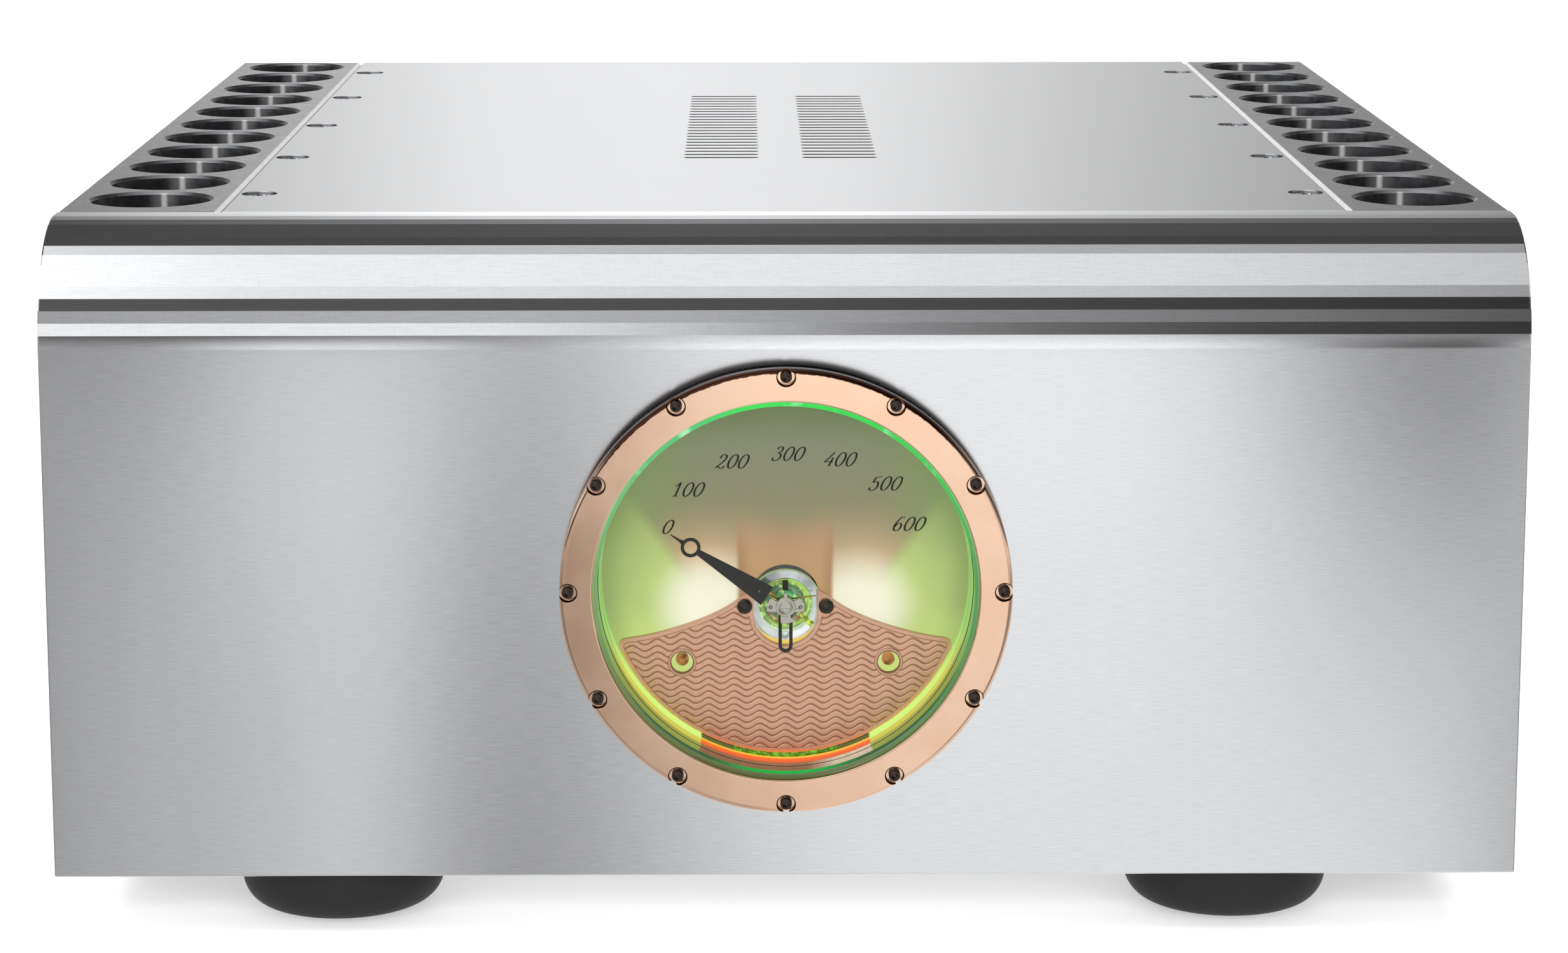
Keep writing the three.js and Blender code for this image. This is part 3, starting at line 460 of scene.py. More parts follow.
def panel_material():
    """Brushed across the width on the face, and finer on the facets above it."""
    look = material("panel_brushed", ALUMINIUM, 0.16, 1)
    _, _, z = look.split(look.where())
    facets = step(z, BODY_H - 37.5, BODY_H - 36.5)
    grain = look.noise(1, 3, (0.16, 8, 8))
    tone = mix(step(grain, 0.25, 0.75), srgb(214, 215, 217), srgb(230, 231, 233))
    cloud = look.noise(0.012, 2)
    tone = mix(step(cloud, 0.35, 0.65, 0, 0.1), tone, srgb(206, 207, 209))
    ticks = look.noise(1, 3, (1.1, 0.4, 0.4))
    speckle = step(ticks, 0.35, 0.7) * facets
    tone = mix(speckle * 0.07, tone, srgb(176, 177, 180))
    look.set(base_color=tone)
    face_rough = step(grain, 0.25, 0.75, 0.145, 0.155)
    rough = face_rough * (1 - facets) + facets * 0.085
    look.set(roughness=rough)
    return look.brush()


def cover_material():
    """Brushed plate, with painted shade that darkens the walls of its slots and counterbores."""
    look = material("cover_brushed", ALUMINIUM, 0.22, 1)
    x, y, z = look.split(look.where())
    grain = look.noise(1, 3, (0.06, 4, 4))
    tone = mix(step(grain), srgb(218, 219, 221), srgb(226, 227, 229))
    along = abs(y - middle("top_cover").y)
    vents = step(abs(x), 38, 36) * step(along, 112, 110)
    # Painted shade: surfaces more than about a millimetre below the top, and the slot walls, are darkened.
    deep = step(z, BODY_H - 1.1, BODY_H - 1.6) + vents * step(z, BODY_H - 0.02, BODY_H - 0.1)
    look.set(base_color=mix(deep * 0.92, tone, srgb(40, 40, 42)),
             roughness=step(grain, 0.25, 0.75, 0.2, 0.25))
    return look.brush()


def sink_material():
    """Dull milled metal, with painted highlights: an upright streak of painted light on the turned walls of
    the bores, and a bright line along the top of the inner edge.
    """
    look = material("sink_milled", srgb(142, 143, 146), 0.3, 1)
    x, y, z = look.split(look.where())
    grain = look.noise(1, 3, (0.4, 0.4, 0.4))
    tone = mix(step(grain), srgb(137, 138, 141), srgb(147, 148, 151))
    inner = BODY_W / 2 - SINK_W
    # Painted highlight: a bright line along the top of the inner edge, white in the colour and faintly
    # glowing.
    edge_highlight = step(abs(x), inner + 1.15, inner + 1) * step(z, BODY_H - 1.2, BODY_H - 1.05)
    look.set(base_color=mix(edge_highlight, tone, srgb(250, 250, 251)), roughness=step(grain, 0.3, 0.7, 0.27, 0.33))
    u = abs(x) - (BODY_W / 2 - SINK_W / 2)
    v = (y - (PANEL_T + FLUE_FIRST - FLUE_PITCH / 2)) % FLUE_PITCH - FLUE_PITCH / 2
    # Painted highlight: an upright streak of painted light on the far walls of the bores, fading low down.
    wall = step(length(u, v), FLUE_R + 0.5, FLUE_R + 0.2) * step(v, 5, 8)
    across = abs(u + 1.5)
    streak = step(across, 1.5, 0.2, 0, 0.3) + step(across, 6, 1, 0, 0.06)
    glow = wall * streak * step(z, BODY_H - 45, BODY_H - 3)
    glow = glow + edge_highlight * 0.2
    look.set(emission_color=mix(glow, (0, 0, 0), (1, 1, 1)), emission_strength=1)
    return look.owner


# ------------------------------------------------------------------ finishes
ALUMINIUM = srgb(226, 227, 229)
PANEL = panel_material()
COVER = cover_material()
SINK = sink_material()
PLATE = varied("plate_satin", srgb(196, 197, 199), 0.4, 1, 1, 0.05, 0.05, stretch=(0.05, 2, 2),
    detail=4)
SCREW = plain_metal("screw_steel", srgb(196, 197, 200), 0.22)
BLACK_STEEL = plain_metal("black_steel", srgb(24, 24, 26), 0.22)
Look(BLACK_STEEL).set(specular_tint=(0.12, 0.12, 0.12))
BLACK_OXIDE = plain_metal("black_oxide", srgb(82, 72, 68), 0.26)
RUBBER = moulded("foot_rubber", srgb(27, 27, 28), 0.7, 1.5, 0.02)
RUBBER.node_tree.nodes["Principled BSDF"].inputs["Specular IOR Level"].default_value = 0.25
NEEDLE_BLACK = moulded("needle_black", srgb(22, 20, 18), 0.45, 2, 0)
BLACK_PLASTIC = moulded("black_plastic", srgb(30, 30, 31), 0.42)
KNOB_BLACK = moulded("knob_black", srgb(26, 26, 27), 0.25)
KNOB_RED = moulded("knob_red", srgb(150, 22, 24), 0.25)
GOLD = plain_metal("gold_plate", srgb(226, 186, 104), 0.18)
BRIDGE_STEEL = plain_metal("bridge_steel", srgb(226, 222, 214), 0.3)
WINDING = moulded("winding_tape", srgb(120, 58, 30), 0.35, 0.4)
BOARD = moulded("circuit_board", srgb(34, 88, 60), 0.5, 0.2)


def glowing(name, roughness=0.6, metallic=0, base=(0.02, 0.02, 0.02), strength=1):
    """A dark material whose look comes from its glow: light inside for the lamps, painted light for the
    pieces that are no lamps; the caller gives the glow's colour.
    """
    look = material(name, base, roughness, metallic)
    look.set(emission_strength=strength)
    return look


def lit(name, bright, dark, scale):
    """A glowing piece between two colours in soft patches: a lamp lit from inside, or painted light on a
    piece that is no lamp.
    """
    look = glowing(name, 0.3, 0, dark)
    look.set(emission_color=mix(step(look.noise(scale), 0.35, 0.65), dark, bright))
    return look.owner


def glow_from_below(made, colour):
    """Stands in for the light that the lit ring throws on bright metal, strongest low down."""
    look = Look(made)
    _, _, up, _ = around_meter(look)
    low = step(up, -1, -14, 0.25, 1)
    look.set(emission_color=mix(low, (0, 0, 0), colour), emission_strength=1)


def around_meter(look):
    """Place relative to the meter's middle, and the angle from its top (clockwise, degrees)."""
    x, y, z = look.split(look.where())
    up = z - METER_Z
    angle = look.math("ARCTAN2", x, up) * (180 / pi)
    return x, y, up, angle


def dial_material():
    """Olive plate with the light of two lamps below its middle painted into its glow: hot near them, lime
    outwards, beige inwards.
    """
    look = glowing("dial_lit")
    x, _, up, _ = around_meter(look)
    side = abs(x)
    u = side - 23
    v = up + 11
    far = length(u, v)
    lime = step(v - u * 1.35, 5, -5)
    tone = ramp(up / 60, [
        (0, srgb(150, 131, 94)), (0.35, srgb(137, 131, 97)), (0.68, srgb(126, 130, 98)), (0.9, srgb(98,
        112, 66)),
    ])
    cool = step(side, 24, 52) * 0.75
    tone = mix(cool, tone, srgb(128, 152, 84))
    beige = step(far, 36, 7) * (1 - lime)
    tone = mix(beige * 0.95, tone, srgb(228, 188, 140))
    green = step(far, 52, 12) * lime
    tone = mix(green * 0.95, tone, srgb(200, 222, 124))
    low = step(up, -8, -24)
    tone = mix(low * 0.8, tone, srgb(212, 234, 130))
    pillar = step(side, 15.8, 14.2) * step(up, 24, 2)
    tone = mix(pillar * 0.85, tone, srgb(196, 148, 98))
    shade = step(side, 10, 15, 0, 0.7) * pillar
    tone = mix(shade, tone, srgb(164, 116, 68))
    hot = step(far, 22, 6) * step(side, 13.8, 15.8)
    tone = mix(hot, tone, srgb(255, 253, 226))
    below = step(side, 11.5, 10) * step(up, -14, -18)
    tone = mix(below, tone, srgb(250, 214, 96))
    # Painted shade: the plate darkens towards its edge.
    rim = step(length(x, up), 49, 58)
    tone = mix(rim * 0.32, tone, srgb(96, 132, 56))
    cloud = look.noise(0.05, 2)
    tone = mix(step(cloud, 0.3, 0.7, 0, 0.12), tone, srgb(110, 140, 90))
    grain = look.noise(6, 2)
    tone = mix(step(grain, 0.3, 0.7, 0, 0.06), tone, (0.02, 0.02, 0.02))
    return look.set(emission_color=tone)


def ring_material():
    """Inner wall, whose light is painted into its glow: green at the front, orange behind it low down,
    yellow-green further in.
    """
    look = glowing("ring_lit", 0.25)
    x, y, up, angle = around_meter(look)
    off = abs(180 - abs(angle))
    inside_ = step(off, 27.6, 26.8)
    right = step(x, 6, 16)
    front = mix(step(off, 26, 6), srgb(48, 96, 56), srgb(0, 178, 66))
    front = mix(step(off, 60, 100), front, srgb(96, 158, 112))
    amber = mix(right * 0.85, srgb(146, 98, 60), srgb(226, 206, 176))
    streak = look.noise(0.35, 2, (1, 0.2, 0.2))
    amber = mix(step(streak, 0.45, 0.7, 0, 0.35), amber, srgb(120, 84, 60))
    second = mix(inside_, srgb(150, 158, 62), amber)
    third = mix(inside_, srgb(196, 186, 56), mix(step(y, 3.4, 7), srgb(206, 74, 18), srgb(246, 76, 8)))
    fourth = mix(inside_, srgb(222, 240, 120), srgb(255, 196, 10))
    bright = mix(step(off, 30, 75), srgb(206, 240, 120), srgb(184, 216, 108))
    deep = mix(inside_, bright, srgb(58, 36, 8))
    radius = length(x, up)
    tone = mix(step(radius, 59.7, 59.3), front, second)
    tone = mix(step(y, 3.1, 3.6), tone, third)
    tone = mix(step(y, 8.3, 8.7), tone, fourth)
    tone = mix(step(y, 9.3, 9.7), tone, deep)
    sides = step(off, 56, 78)
    tone = mix(sides * 0.85, tone, srgb(128, 184, 96))
    return look.set(emission_color=tone)


def glass_edge_material():
    # The glass edge's look is painted light: the meter's lit inside shows as glow, with painted glints in
    # bright spots near the top.
    look = glowing("glass_edge_lit", 0.1)
    _, _, up, angle = around_meter(look)
    turn_ = angle / 360 + 0.5
    tone = ramp(turn_, [
        (0, srgb(70, 84, 40)), (0.12, srgb(84, 108, 64)), (0.24, srgb(118, 152, 100)), (0.34, srgb(104,
        186, 118)),
        (0.42, srgb(60, 200, 110)), (0.47, srgb(10, 226, 80)), (0.56, srgb(16, 220, 70)), (0.64, srgb(58,
        196, 84)),
        (0.74, srgb(78, 152, 84)), (0.86, srgb(66, 128, 78)), (1, srgb(70, 84, 40)),
    ])
    glints = look.noise(0.11, 3, (1, 0, 1))
    high = step(up, 20, 50)
    tone = mix(step(glints, 0.55, 0.72) * (high * 0.7), tone, srgb(190, 255, 210))
    return look.set(emission_color=tone)


def glass_material():
    look = material("clear_glass", srgb(34, 44, 38), 0.03)
    smear = look.noise(0.08, 2)
    look.set(roughness=step(smear, 0.3, 0.7, 0.02, 0.05), alpha=0.05)
    return look.owner


def bezel_material():
    """Polished copper, with a painted dark reflection along the top of the outer edge."""
    look = material("bezel_copper", srgb(238, 200, 172), 0.08, 1)
    x, _, up, angle = around_meter(look)
    ragged = (look.noise(0.45, 4) - 0.5) * 1.1
    radius = length(x, up) + ragged
    reach = step(abs(angle + 4), 66, 44)
    # Painted reflection: a dark ragged band along the top of the outer edge.
    dark = step(radius, 68.05, 68.35) * reach
    cloud = look.noise(0.05)
    tone = mix(step(cloud), srgb(234, 194, 166), srgb(240, 204, 177))
    look.set(base_color=mix(dark * 0.96, tone, srgb(66, 30, 18)),
             roughness=step(cloud, 0.2, 0.8, 0.06, 0.12))
    return look.owner


def fan_material():
    """Satin copper, darker down in the engraved lines, with a painted glow of the meter's light that is
    weaker in the lines.
    """
    look = material("fan_copper", srgb(226, 178, 142), 0.34, 1)
    x, y, up, _ = around_meter(look)
    groove = step(y, FAN_Y + 0.08, FAN_Y + 0.2)
    grain = look.noise(1.2, 4)
    tone = mix(step(grain), srgb(240, 192, 160), srgb(247, 206, 176))
    tone = mix(groove * 0.62, tone, srgb(140, 84, 60))
    rim = step(length(abs(x) - LAMP_X, up - LAMP_Z), 3.95, 3.65)
    # The emission is a painted glow of the meter's light, weaker down in the lines.
    look.set(base_color=mix(rim * 0.85, tone, srgb(70, 34, 22)),
             emission_color=mix(groove, (0.15, 0.07, 0.045), (0.07, 0.03, 0.018)))
    look.set(emission_strength=1, roughness=step(grain, 0.3, 0.7, 0.3, 0.38))
    return look.owner


def hub_material():
    # The hub's look is painted light: the meter's light on its rings as glow, with painted glints in bright
    # patches.
    look = glowing("hub_green", 0.2, 0.6, (0.1, 0.14, 0.08))
    x, _, up, _ = around_meter(look)
    v = up - (FLANGE_Z - METER_Z)
    radius = length(x, v)
    tone = ramp(radius / 10, [
        (0, srgb(14, 40, 28)), (0.2, srgb(30, 96, 62)), (0.33, srgb(70, 170, 120)), (0.43, srgb(26, 62,
        40)),
        (0.52, srgb(96, 128, 104)), (0.6, srgb(40, 80, 40)), (0.7, srgb(120, 150, 56)), (0.76, srgb(176,
        206, 84)),
        (0.83, srgb(70, 104, 44)),
    ])
    low = step(v, -1.5, -4) * step(radius, 5, 5.6)
    tone = mix(low * step(radius, 6.6, 6), tone, srgb(150, 70, 40))
    wedge = step(v - x * 0.9, -2, 1) * step(x, 1, -1)
    tone = mix(wedge * 0.45, tone, srgb(24, 40, 24))
    glint_patch = look.noise(0.5)
    tone = mix(step(glint_patch, 0.52, 0.66, 0, 0.75), tone, srgb(196, 236, 130))
    return look.set(emission_color=tone)


def lamp_material():
    look = glowing("lamp_amber", 0.05, 0, srgb(84, 54, 26), 0.75)
    swirl = look.noise(0.5)
    tone = mix(step(swirl, 0.35, 0.65), srgb(80, 46, 20), srgb(190, 134, 70))
    return look.set(emission_color=tone)


DIAL = dial_material()
RING_LIGHT = ring_material()
GLASS_EDGE = glass_edge_material()
GLASS = glass_material()
BEZEL_COPPER = bezel_material()
FAN_COPPER = fan_material()
HUB_GREEN = hub_material()
LAMP_GLASS = lamp_material()
SLOT_GREEN = lit("slot_green", srgb(96, 190, 24), srgb(24, 60, 8), 0.5)
# The balance weight's glow is painted light: the meter's light on it.
WEIGHT = lit("weight_lit", srgb(214, 226, 84), srgb(70, 84, 20), 0.6)
DIAL_INK = moulded("dial_ink", srgb(12, 11, 8), 0.8, 4, 0)
CHROME = plain_metal("chrome", srgb(226, 229, 232), 0.14, scale=0.3, colour_swing=0.12)
glow_from_below(CHROME, srgb(150, 158, 152))
JEWEL = moulded("jewel", srgb(62, 50, 78), 0.08, 2, 0)
ARM_GOLD = plain_metal("arm_gold", srgb(196, 168, 84), 0.25)
COLLAR = plain_metal("collar_copper", srgb(170, 150, 80), 0.3)


# ------------------------------------------------------------------ chassis
FACETS = 15
EDGE_R = 36.5


def front_panel():
    corners = [(PANEL_T, 0), (PANEL_T, BODY_H)]
    for i in range(FACETS + 1):
        angle = pi / 2 * (1 + i / FACETS)
        corners.append((EDGE_R + EDGE_R * cos(angle), BODY_H - EDGE_R + EDGE_R * sin(angle)))
    corners.append((0, 0))
    bm = bmesh.new()
    loft(bm, [[(x, y, z) for y, z in corners] for x in (-BODY_W / 2, BODY_W / 2)], caps=True)
    piece = finish_mesh("front_panel_shell", bm, PANEL, "front_panel", "front_panel", sharp=3)
    hole = bmesh.new()
    lathe(hole, [(0, -2), (METER_HOLE_R, -2), (METER_HOLE_R, PANEL_T + 2), (0, PANEL_T + 2)], METER_AXIS,
        sides=128)
    combined(piece, hole)
    modified(piece, "BEVEL", 3, width=0.6 * MM, segments=2, limit_method="ANGLE",
             angle_limit=radians(25), use_clamp_overlap=True, harden_normals=False)
    brushed_along(piece, (1, 0, 0))


def heat_sink(side, name):
    low, high = sorted((side * (BODY_W / 2 - SINK_W), side * BODY_W / 2))
    centre_x = side * (BODY_W / 2 - SINK_W / 2)
    holes = [circle(FLUE_R, centre_x, PANEL_T + FLUE_FIRST + i * FLUE_PITCH, 96) for i in range(FLUE_COUNT)]
    sheets = [(rectangle(low, PANEL_T + GAP, high, BODY_D), holes, 0, BODY_H, "z", 1)]
    low, high = sorted((side * (BODY_W / 2 - SINK_W - LEDGE_W), side * (BODY_W / 2 - SINK_W + 0.1)))
    ledge = rectangle(low, PANEL_T + LEDGE_INSET, high, BODY_D - 12)
    for bottom in (LEDGE_INSET, BODY_H - LEDGE_DROP):
        sheets.append((ledge, [], bottom, bottom + LEDGE_H, "z", 0.4))
    assembly(f"{name}_block", SINK, "heat_sink", name, sheets, merge=1e-6)


VENT_SLOTS = 23
VENT_PITCH = 9.15
VENT_SLOT_L = 25.8
VENT_SLOT_R = 1.5
VENT_X = 20.6
COVER_CHAMFER = 1
SCREW_NODES = [f"cover_screw_{side}_{i}" for side in ("left", "right") for i in range(1, 6)]


def slot_outline(x, y):
    straight = VENT_SLOT_L / 2 - VENT_SLOT_R
    return arc(VENT_SLOT_R, -90, 90, x + straight, y, 8) + arc(VENT_SLOT_R, 90, 270, x - straight, y, 8)


def top_cover():
    low, high = span("top_cover")
    centre_y = (low.y + high.y) / 2
    holes = [slot_outline(side * VENT_X, centre_y + (i - (VENT_SLOTS - 1) / 2) * VENT_PITCH)
             for side in (-1, 1) for i in range(VENT_SLOTS)]
    for node in SCREW_NODES:
        spot = middle(node)
        holes.append(circle(5.75, spot.x, spot.y, 48))
    piece = plate("top_cover_plate", COVER, "cover", "top_cover", rectangle(low.x, low.y, high.x, high.y),
        holes,
                  low.z, high.z, "z", 0.15)
    edges = bmesh.new()
    wide = COVER_CHAMFER + 0.5
    for side, edge in ((-1, low.x), (1, high.x)):
        corner = [(edge - side * wide, high.z + 0.5), (edge + side * 0.5, high.z + 0.5),
                  (edge + side * 0.5, high.z - wide)]
        loft(edges, [[(x, y, z) for x, z in corner] for y in (low.y - 5, high.y + 5)], caps=True)
    combined(piece, edges, sharp=25)
    brushed_along(piece, (1, 0, 0))


def socket_screw(name, node, material_, head_r, head_h, flats, shank_r, length, axis="z", out=1, sides=48):
    """Cap screw with a hexagon socket; its node's box says where it is."""
    low, high = span(node)
    centre = middle(node)
    top = high.z if axis == "z" else low.y
    base = (centre.x, centre.y, 0) if axis == "z" else (centre.x, 0, centre.z)
    key = hexagon(flats, flats / 2)
    soft = min(0.35, head_r * 0.12)
    profile = [
        (0, -length), (shank_r, -length), (shank_r, -head_h), (head_r, -head_h),
        (head_r, -soft), (head_r - soft * 0.3, -soft * 0.3), (head_r - soft, 0),
        (flats / 2 * 1.28, 0), (flats / 2 * 1.2, -0.1 * head_h), (flats / 2, -0.12 * head_h, key),
        (flats / 2, -0.62 * head_h, key), (0, -0.75 * head_h),
    ]
    placed = [(c[0], top + out * c[1], *c[2:]) for c in profile]
    bm = bmesh.new()
    lathe(bm, placed, base, axis, sides)
    return finish_mesh(name, bm, material_, None, node, sharp=35, merge=1e-7)


def foot(node):
    """Wide shallow dome with a faint crease, an elliptical shoulder and a straight upper side."""
    low, high = span(node)
    centre = middle(node)
    height = high.z - low.z
    radius = (high.x - low.x) / 2
    dome_r, flat_r, crease_r, shoulder_h = 88, 8, 23.5, 10
    dome = lambda r: sqrt(dome_r ** 2 - flat_r ** 2) - sqrt(dome_r ** 2 - r ** 2)
    rings = [(0, 0), (flat_r, 0)]
    rings += [(r, dome(r)) for r in (10, 12.5, 15, 17.5, 20, 22, 23)]
    rings += [(23.2, dome(23.2) + 0.3), (23.7, dome(23.2) + 0.3)]
    for degrees in range(6, 91, 6):
        angle = radians(degrees)
        rings.append((crease_r + (radius - crease_r) * sin(angle), dome(crease_r) + shoulder_h * (1
            - cos(angle))))
    rings += [(radius, height - 0.6), (radius - 0.6, height), (0, height)]
    placed = [(r, low.z + t) for r, t in rings]
    return turned(f"{node}_dome", placed, (centre.x, centre.y, 0), RUBBER, "foot", node, axis="z")


front_panel()
heat_sink(-1, "heatsink_left")
heat_sink(1, "heatsink_right")
top_cover()
for node in SCREW_NODES:
    socket_screw(f"{node}_head", node, SCREW, 4.25, 4.6, 4, 2.3, 14)
for end in ("front", "rear"):
    for side in ("left", "right"):
        foot(f"foot_{end}_{side}")

# ------------------------------------------------------------------ meter
HUB = (0, 0, PIVOT_Z)
BEZEL_FRONT = span("meter_bezel")[0].y
BEZEL_BACK = span("meter_bezel")[1].y
BEZEL_R = span("meter_bezel")[1].x
OPEN_R = 59.4
BEZEL_NODES = [f"bezel_screw_{i:02d}" for i in range(1, 13)]
WALL_R = 58
DIAL_Y = span("meter_dial")[0].y
FAN_R = 56.5
NOTCH_R = 10.1
NOTCH_Z = -11.6


def bezel():
    front, back = BEZEL_FRONT, BEZEL_BACK
    edge = [
        (OPEN_R + 0.15, back), (OPEN_R, back - 0.15), (OPEN_R, front + 0.3), (OPEN_R + 0.1, front + 0.08),
        (OPEN_R + 0.35, front), (OPEN_R + 0.55, front), (BEZEL_R - 1.35, front), (BEZEL_R - 1.15, front),
        (BEZEL_R - 0.8, front + 0.06), (BEZEL_R - 0.35, front + 0.2), (BEZEL_R - 0.1, front + 0.36),
        (BEZEL_R, front + 0.6), (BEZEL_R, back - 0.2), (BEZEL_R - 0.2, back),
    ]
    piece = turned("meter_bezel_ring", edge + edge[:1], METER_AXIS, BEZEL_COPPER, "bezel", "meter_bezel",
        256,
                   sharp=50)
    steps = [(0, -2), (3.05, -2), (3.05, -0.02), (2.95, 0.1), (2.65, 0.5), (2.65, 2.4), (1.2, 2.4), (1.2,
        7), (0, 7)]
    holes = bmesh.new()
    for node in BEZEL_NODES:
        spot = middle(node)
        lathe(holes, [(r, front + t) for r, t in steps], (spot.x, 0, spot.z), "y", 40)
    combined(piece, holes, sharp=50)


def housing():
    front = BEZEL_BACK + GAP
    back = span("meter_housing")[1].y
    seat = 0.9
    cup = [
        (0, back - 3), (55, back - 3), (55, 18.8), (WALL_R, 18.8), (WALL_R, seat), (61.3, seat), (61.3,
        front),
        (BEZEL_R - 0.7, front), (BEZEL_R - 0.3, front + 0.4), (BEZEL_R - 0.3, -1.5), (BEZEL_R - 0.7, -1.1),
        (BEZEL_R - 0.7, -GAP), (65.5, -GAP), (65.5, back), (0, back),
    ]
    turned("meter_housing_cup", cup, METER_AXIS, BLACK_STEEL, "housing", "meter_housing", 192, sharp=25)


def glass():
    low, high = span("meter_glass")
    face_r = 59.1
    body = [
        (0, low.y), (face_r - 1, low.y), (face_r, low.y + 0.7), (face_r, high.y - 6), (61, high.y - 6),
        (61, high.y), (0, high.y),
    ]
    turned("meter_glass_pane", body, METER_AXIS, GLASS, "glass", "meter_glass", 192, sharp=20)
    rim = [
        (face_r - 1.15, low.y - 0.02), (face_r, low.y + 0.68), (face_r + 0.05, high.y - 6.1),
        (face_r - 0.25, high.y - 6.1), (face_r - 0.3, low.y + 0.8), (face_r - 1.15, low.y - 0.02),
    ]
    turned("meter_glass_edge", rim, METER_AXIS, GLASS_EDGE, "glass", sides=192, sharp=20)


def light_ring():
    """The lit inner wall of the meter, with a row of small lamps over its lowest part."""
    steps = [
        (61, 0.75), (58.4, 0.75), (57.9, 1.1), (57.7, 3.2), (57.9, 3.4), (57.9, 8.4), (57.4,
        8.7), (57.4, 9.4),
        (57.75, 9.6), (57.75, 16.2), (57.4, 16.5), (57.4, DIAL_Y - 0.05), (57.95, DIAL_Y - 0.05), (57.95,
        0.95),
        (61, 0.95), (61, 0.75),
    ]
    turned("meter_light_ring", steps, METER_AXIS, RING_LIGHT, "housing", sides=192, sharp=25)
    bm = bmesh.new()
    for i in range(-5, 6):
        angle = radians(-90 + i * 3)
        outward = Vector((cos(angle), 0, sin(angle)))
        across = Vector((-outward.z, 0, outward.x))
        rings = []
        for y in (10.2, 15.6):
            base = Vector((0, y, METER_Z)) + outward * 57.7
            rings.append([base + across * u - outward * v for u, v in ((-1.35, 0), (1.35, 0), (1.08, 0.5),
                (-1.08, 0.5))])
        loft(bm, rings, caps=True)
    finish_mesh("meter_ring_leds", bm, SLOT_GREEN, "housing")


def smooth_path(points, steps=8):
    """Points on a smooth curve through all the given ones."""
    ends = [points[0], *points, points[-1]]
    path = []
    for a, b, c, d in zip(ends, ends[1:], ends[2:], ends[3:]):
        for i in range(steps):
            t = i / steps
            path.append(tuple(
                0.5 * (2 * q + (r - p) * t + (2 * p - 5 * q + 4 * r - s) * t * t + (3 * q - p - 3 * r + s)
                    * t ** 3)
                for p, q, r, s in zip(a, b, c, d)
            ))
    return path + [points[-1]]


# Pen strokes of the digits on a unit-high box, before slanting.
OVAL = [(0.36, 1), (0.16, 0.86), (0.05, 0.5), (0.12, 0.14), (0.3, 0), (0.5, 0.14), (0.6, 0.5), (0.54,
    0.86), (0.36, 1)]
STROKES = {
    "0": [OVAL],
    "1": [[(0.1, 0.72), (0.26, 0.86), (0.36, 1)], [(0.36, 1), (0.35, 0.5), (0.34, 0.03)],
        [(0.16, 0), (0.34, 0.03), (0.5, 0)]],
    "2": [[(0.1, 0.72), (0.14, 0.9), (0.32, 1), (0.5, 0.88), (0.5, 0.68), (0.36, 0.42), (0.14, 0.16),
        (0.02, 0.03)],
          [(0.02, 0.03), (0.16, 0.12), (0.34, 0.02), (0.5, 0), (0.6, 0.16)]],
    "3": [[(0.14, 0.82), (0.2, 0.96), (0.36, 1), (0.5, 0.9), (0.48, 0.68), (0.28, 0.56)],
          [(0.28, 0.56), (0.5, 0.46), (0.55, 0.24), (0.42, 0.04), (0.22, 0), (0.06, 0.1), (0.1, 0.22)]],
    "4": [[(0.46, 1), (0.26, 0.66), (0, 0.3)], [(0, 0.3), (0.3, 0.32), (0.62, 0.3)], [(0.5, 0.62),
        (0.46, 0.3), (0.43, 0)]],
    "5": [[(0.2, 0.94), (0.36, 0.96), (0.58, 1.02)], [(0.2, 0.94), (0.16, 0.76), (0.12, 0.56)],
          [(0.12, 0.56), (0.32, 0.64), (0.5, 0.52), (0.54, 0.26), (0.4, 0.04), (0.2, 0), (0.04, 0.1),
          (0.08, 0.2)]],
    "6": [[(0.58, 0.96), (0.36, 0.98), (0.16, 0.7), (0.06, 0.34), (0.14, 0.06), (0.3, 0), (0.48, 0.1),
        (0.54, 0.34),
           (0.42, 0.54), (0.24, 0.5), (0.1, 0.3)]],
}
DIGIT_H = 4.4
DIGIT_STEP = 3.35
SLANT = 0.42
NUMBERS = {"0": (-36.6, 107.9), "100": (-30.3, 119.8), "200": (-16.4, 128.7), "300": (1.1, 131.1),
           "400": (17.2, 129.3), "500": (31.4, 121.6), "600": (38.8, 108.7)}


def stroke_faces(bm, path, u0, v0, y):
    """A flat stroke, broad where the pen comes down and thin where it goes across."""
    points = [Vector(((u + SLANT * v) * DIGIT_H + u0, 0, v * DIGIT_H + v0)) for u, v in smooth_path(path)]
    rows = []
    for i, point in enumerate(points):
        along = points[min(i + 1, len(points) - 1)] - points[max(i - 1, 0)]
        along.normalize()
        side = Vector((-along.z, 0, along.x))
        nib = Vector((0.95, 0, 0.1)).dot(side)
        half = 0.12 + 0.22 * abs(nib) ** 2
        rows.append((bm.verts.new(world(point + side * half + Vector((0, y, 0)))),
                     bm.verts.new(world(point - side * half + Vector((0, y, 0))))))
    for a, b in zip(rows, rows[1:]):
        bm.faces.new((a[0], b[0], b[1], a[1]))


def dial():
    outer = circle(57.5, 0, METER_Z, 192)
    hole = circle(10.9, 0, PIVOT_Z, 96)
    plate("meter_dial_plate", DIAL, "dial", "meter_dial", outer, [hole], DIAL_Y, DIAL_Y + 1.5, "y", 0.15)
    bm = bmesh.new()
    for number, (x, z) in NUMBERS.items():
        width = DIGIT_STEP * (len(number) - 1) + 0.6 * DIGIT_H
        start = x - width / 2 - SLANT * DIGIT_H / 2
        for i, digit in enumerate(number):
            for stroke in STROKES[digit]:
                stroke_faces(bm, stroke, start + i * DIGIT_STEP, z - DIGIT_H / 2, DIAL_Y - 0.04)
    finish_mesh("meter_dial_numbers", bm, DIAL_INK, "dial")


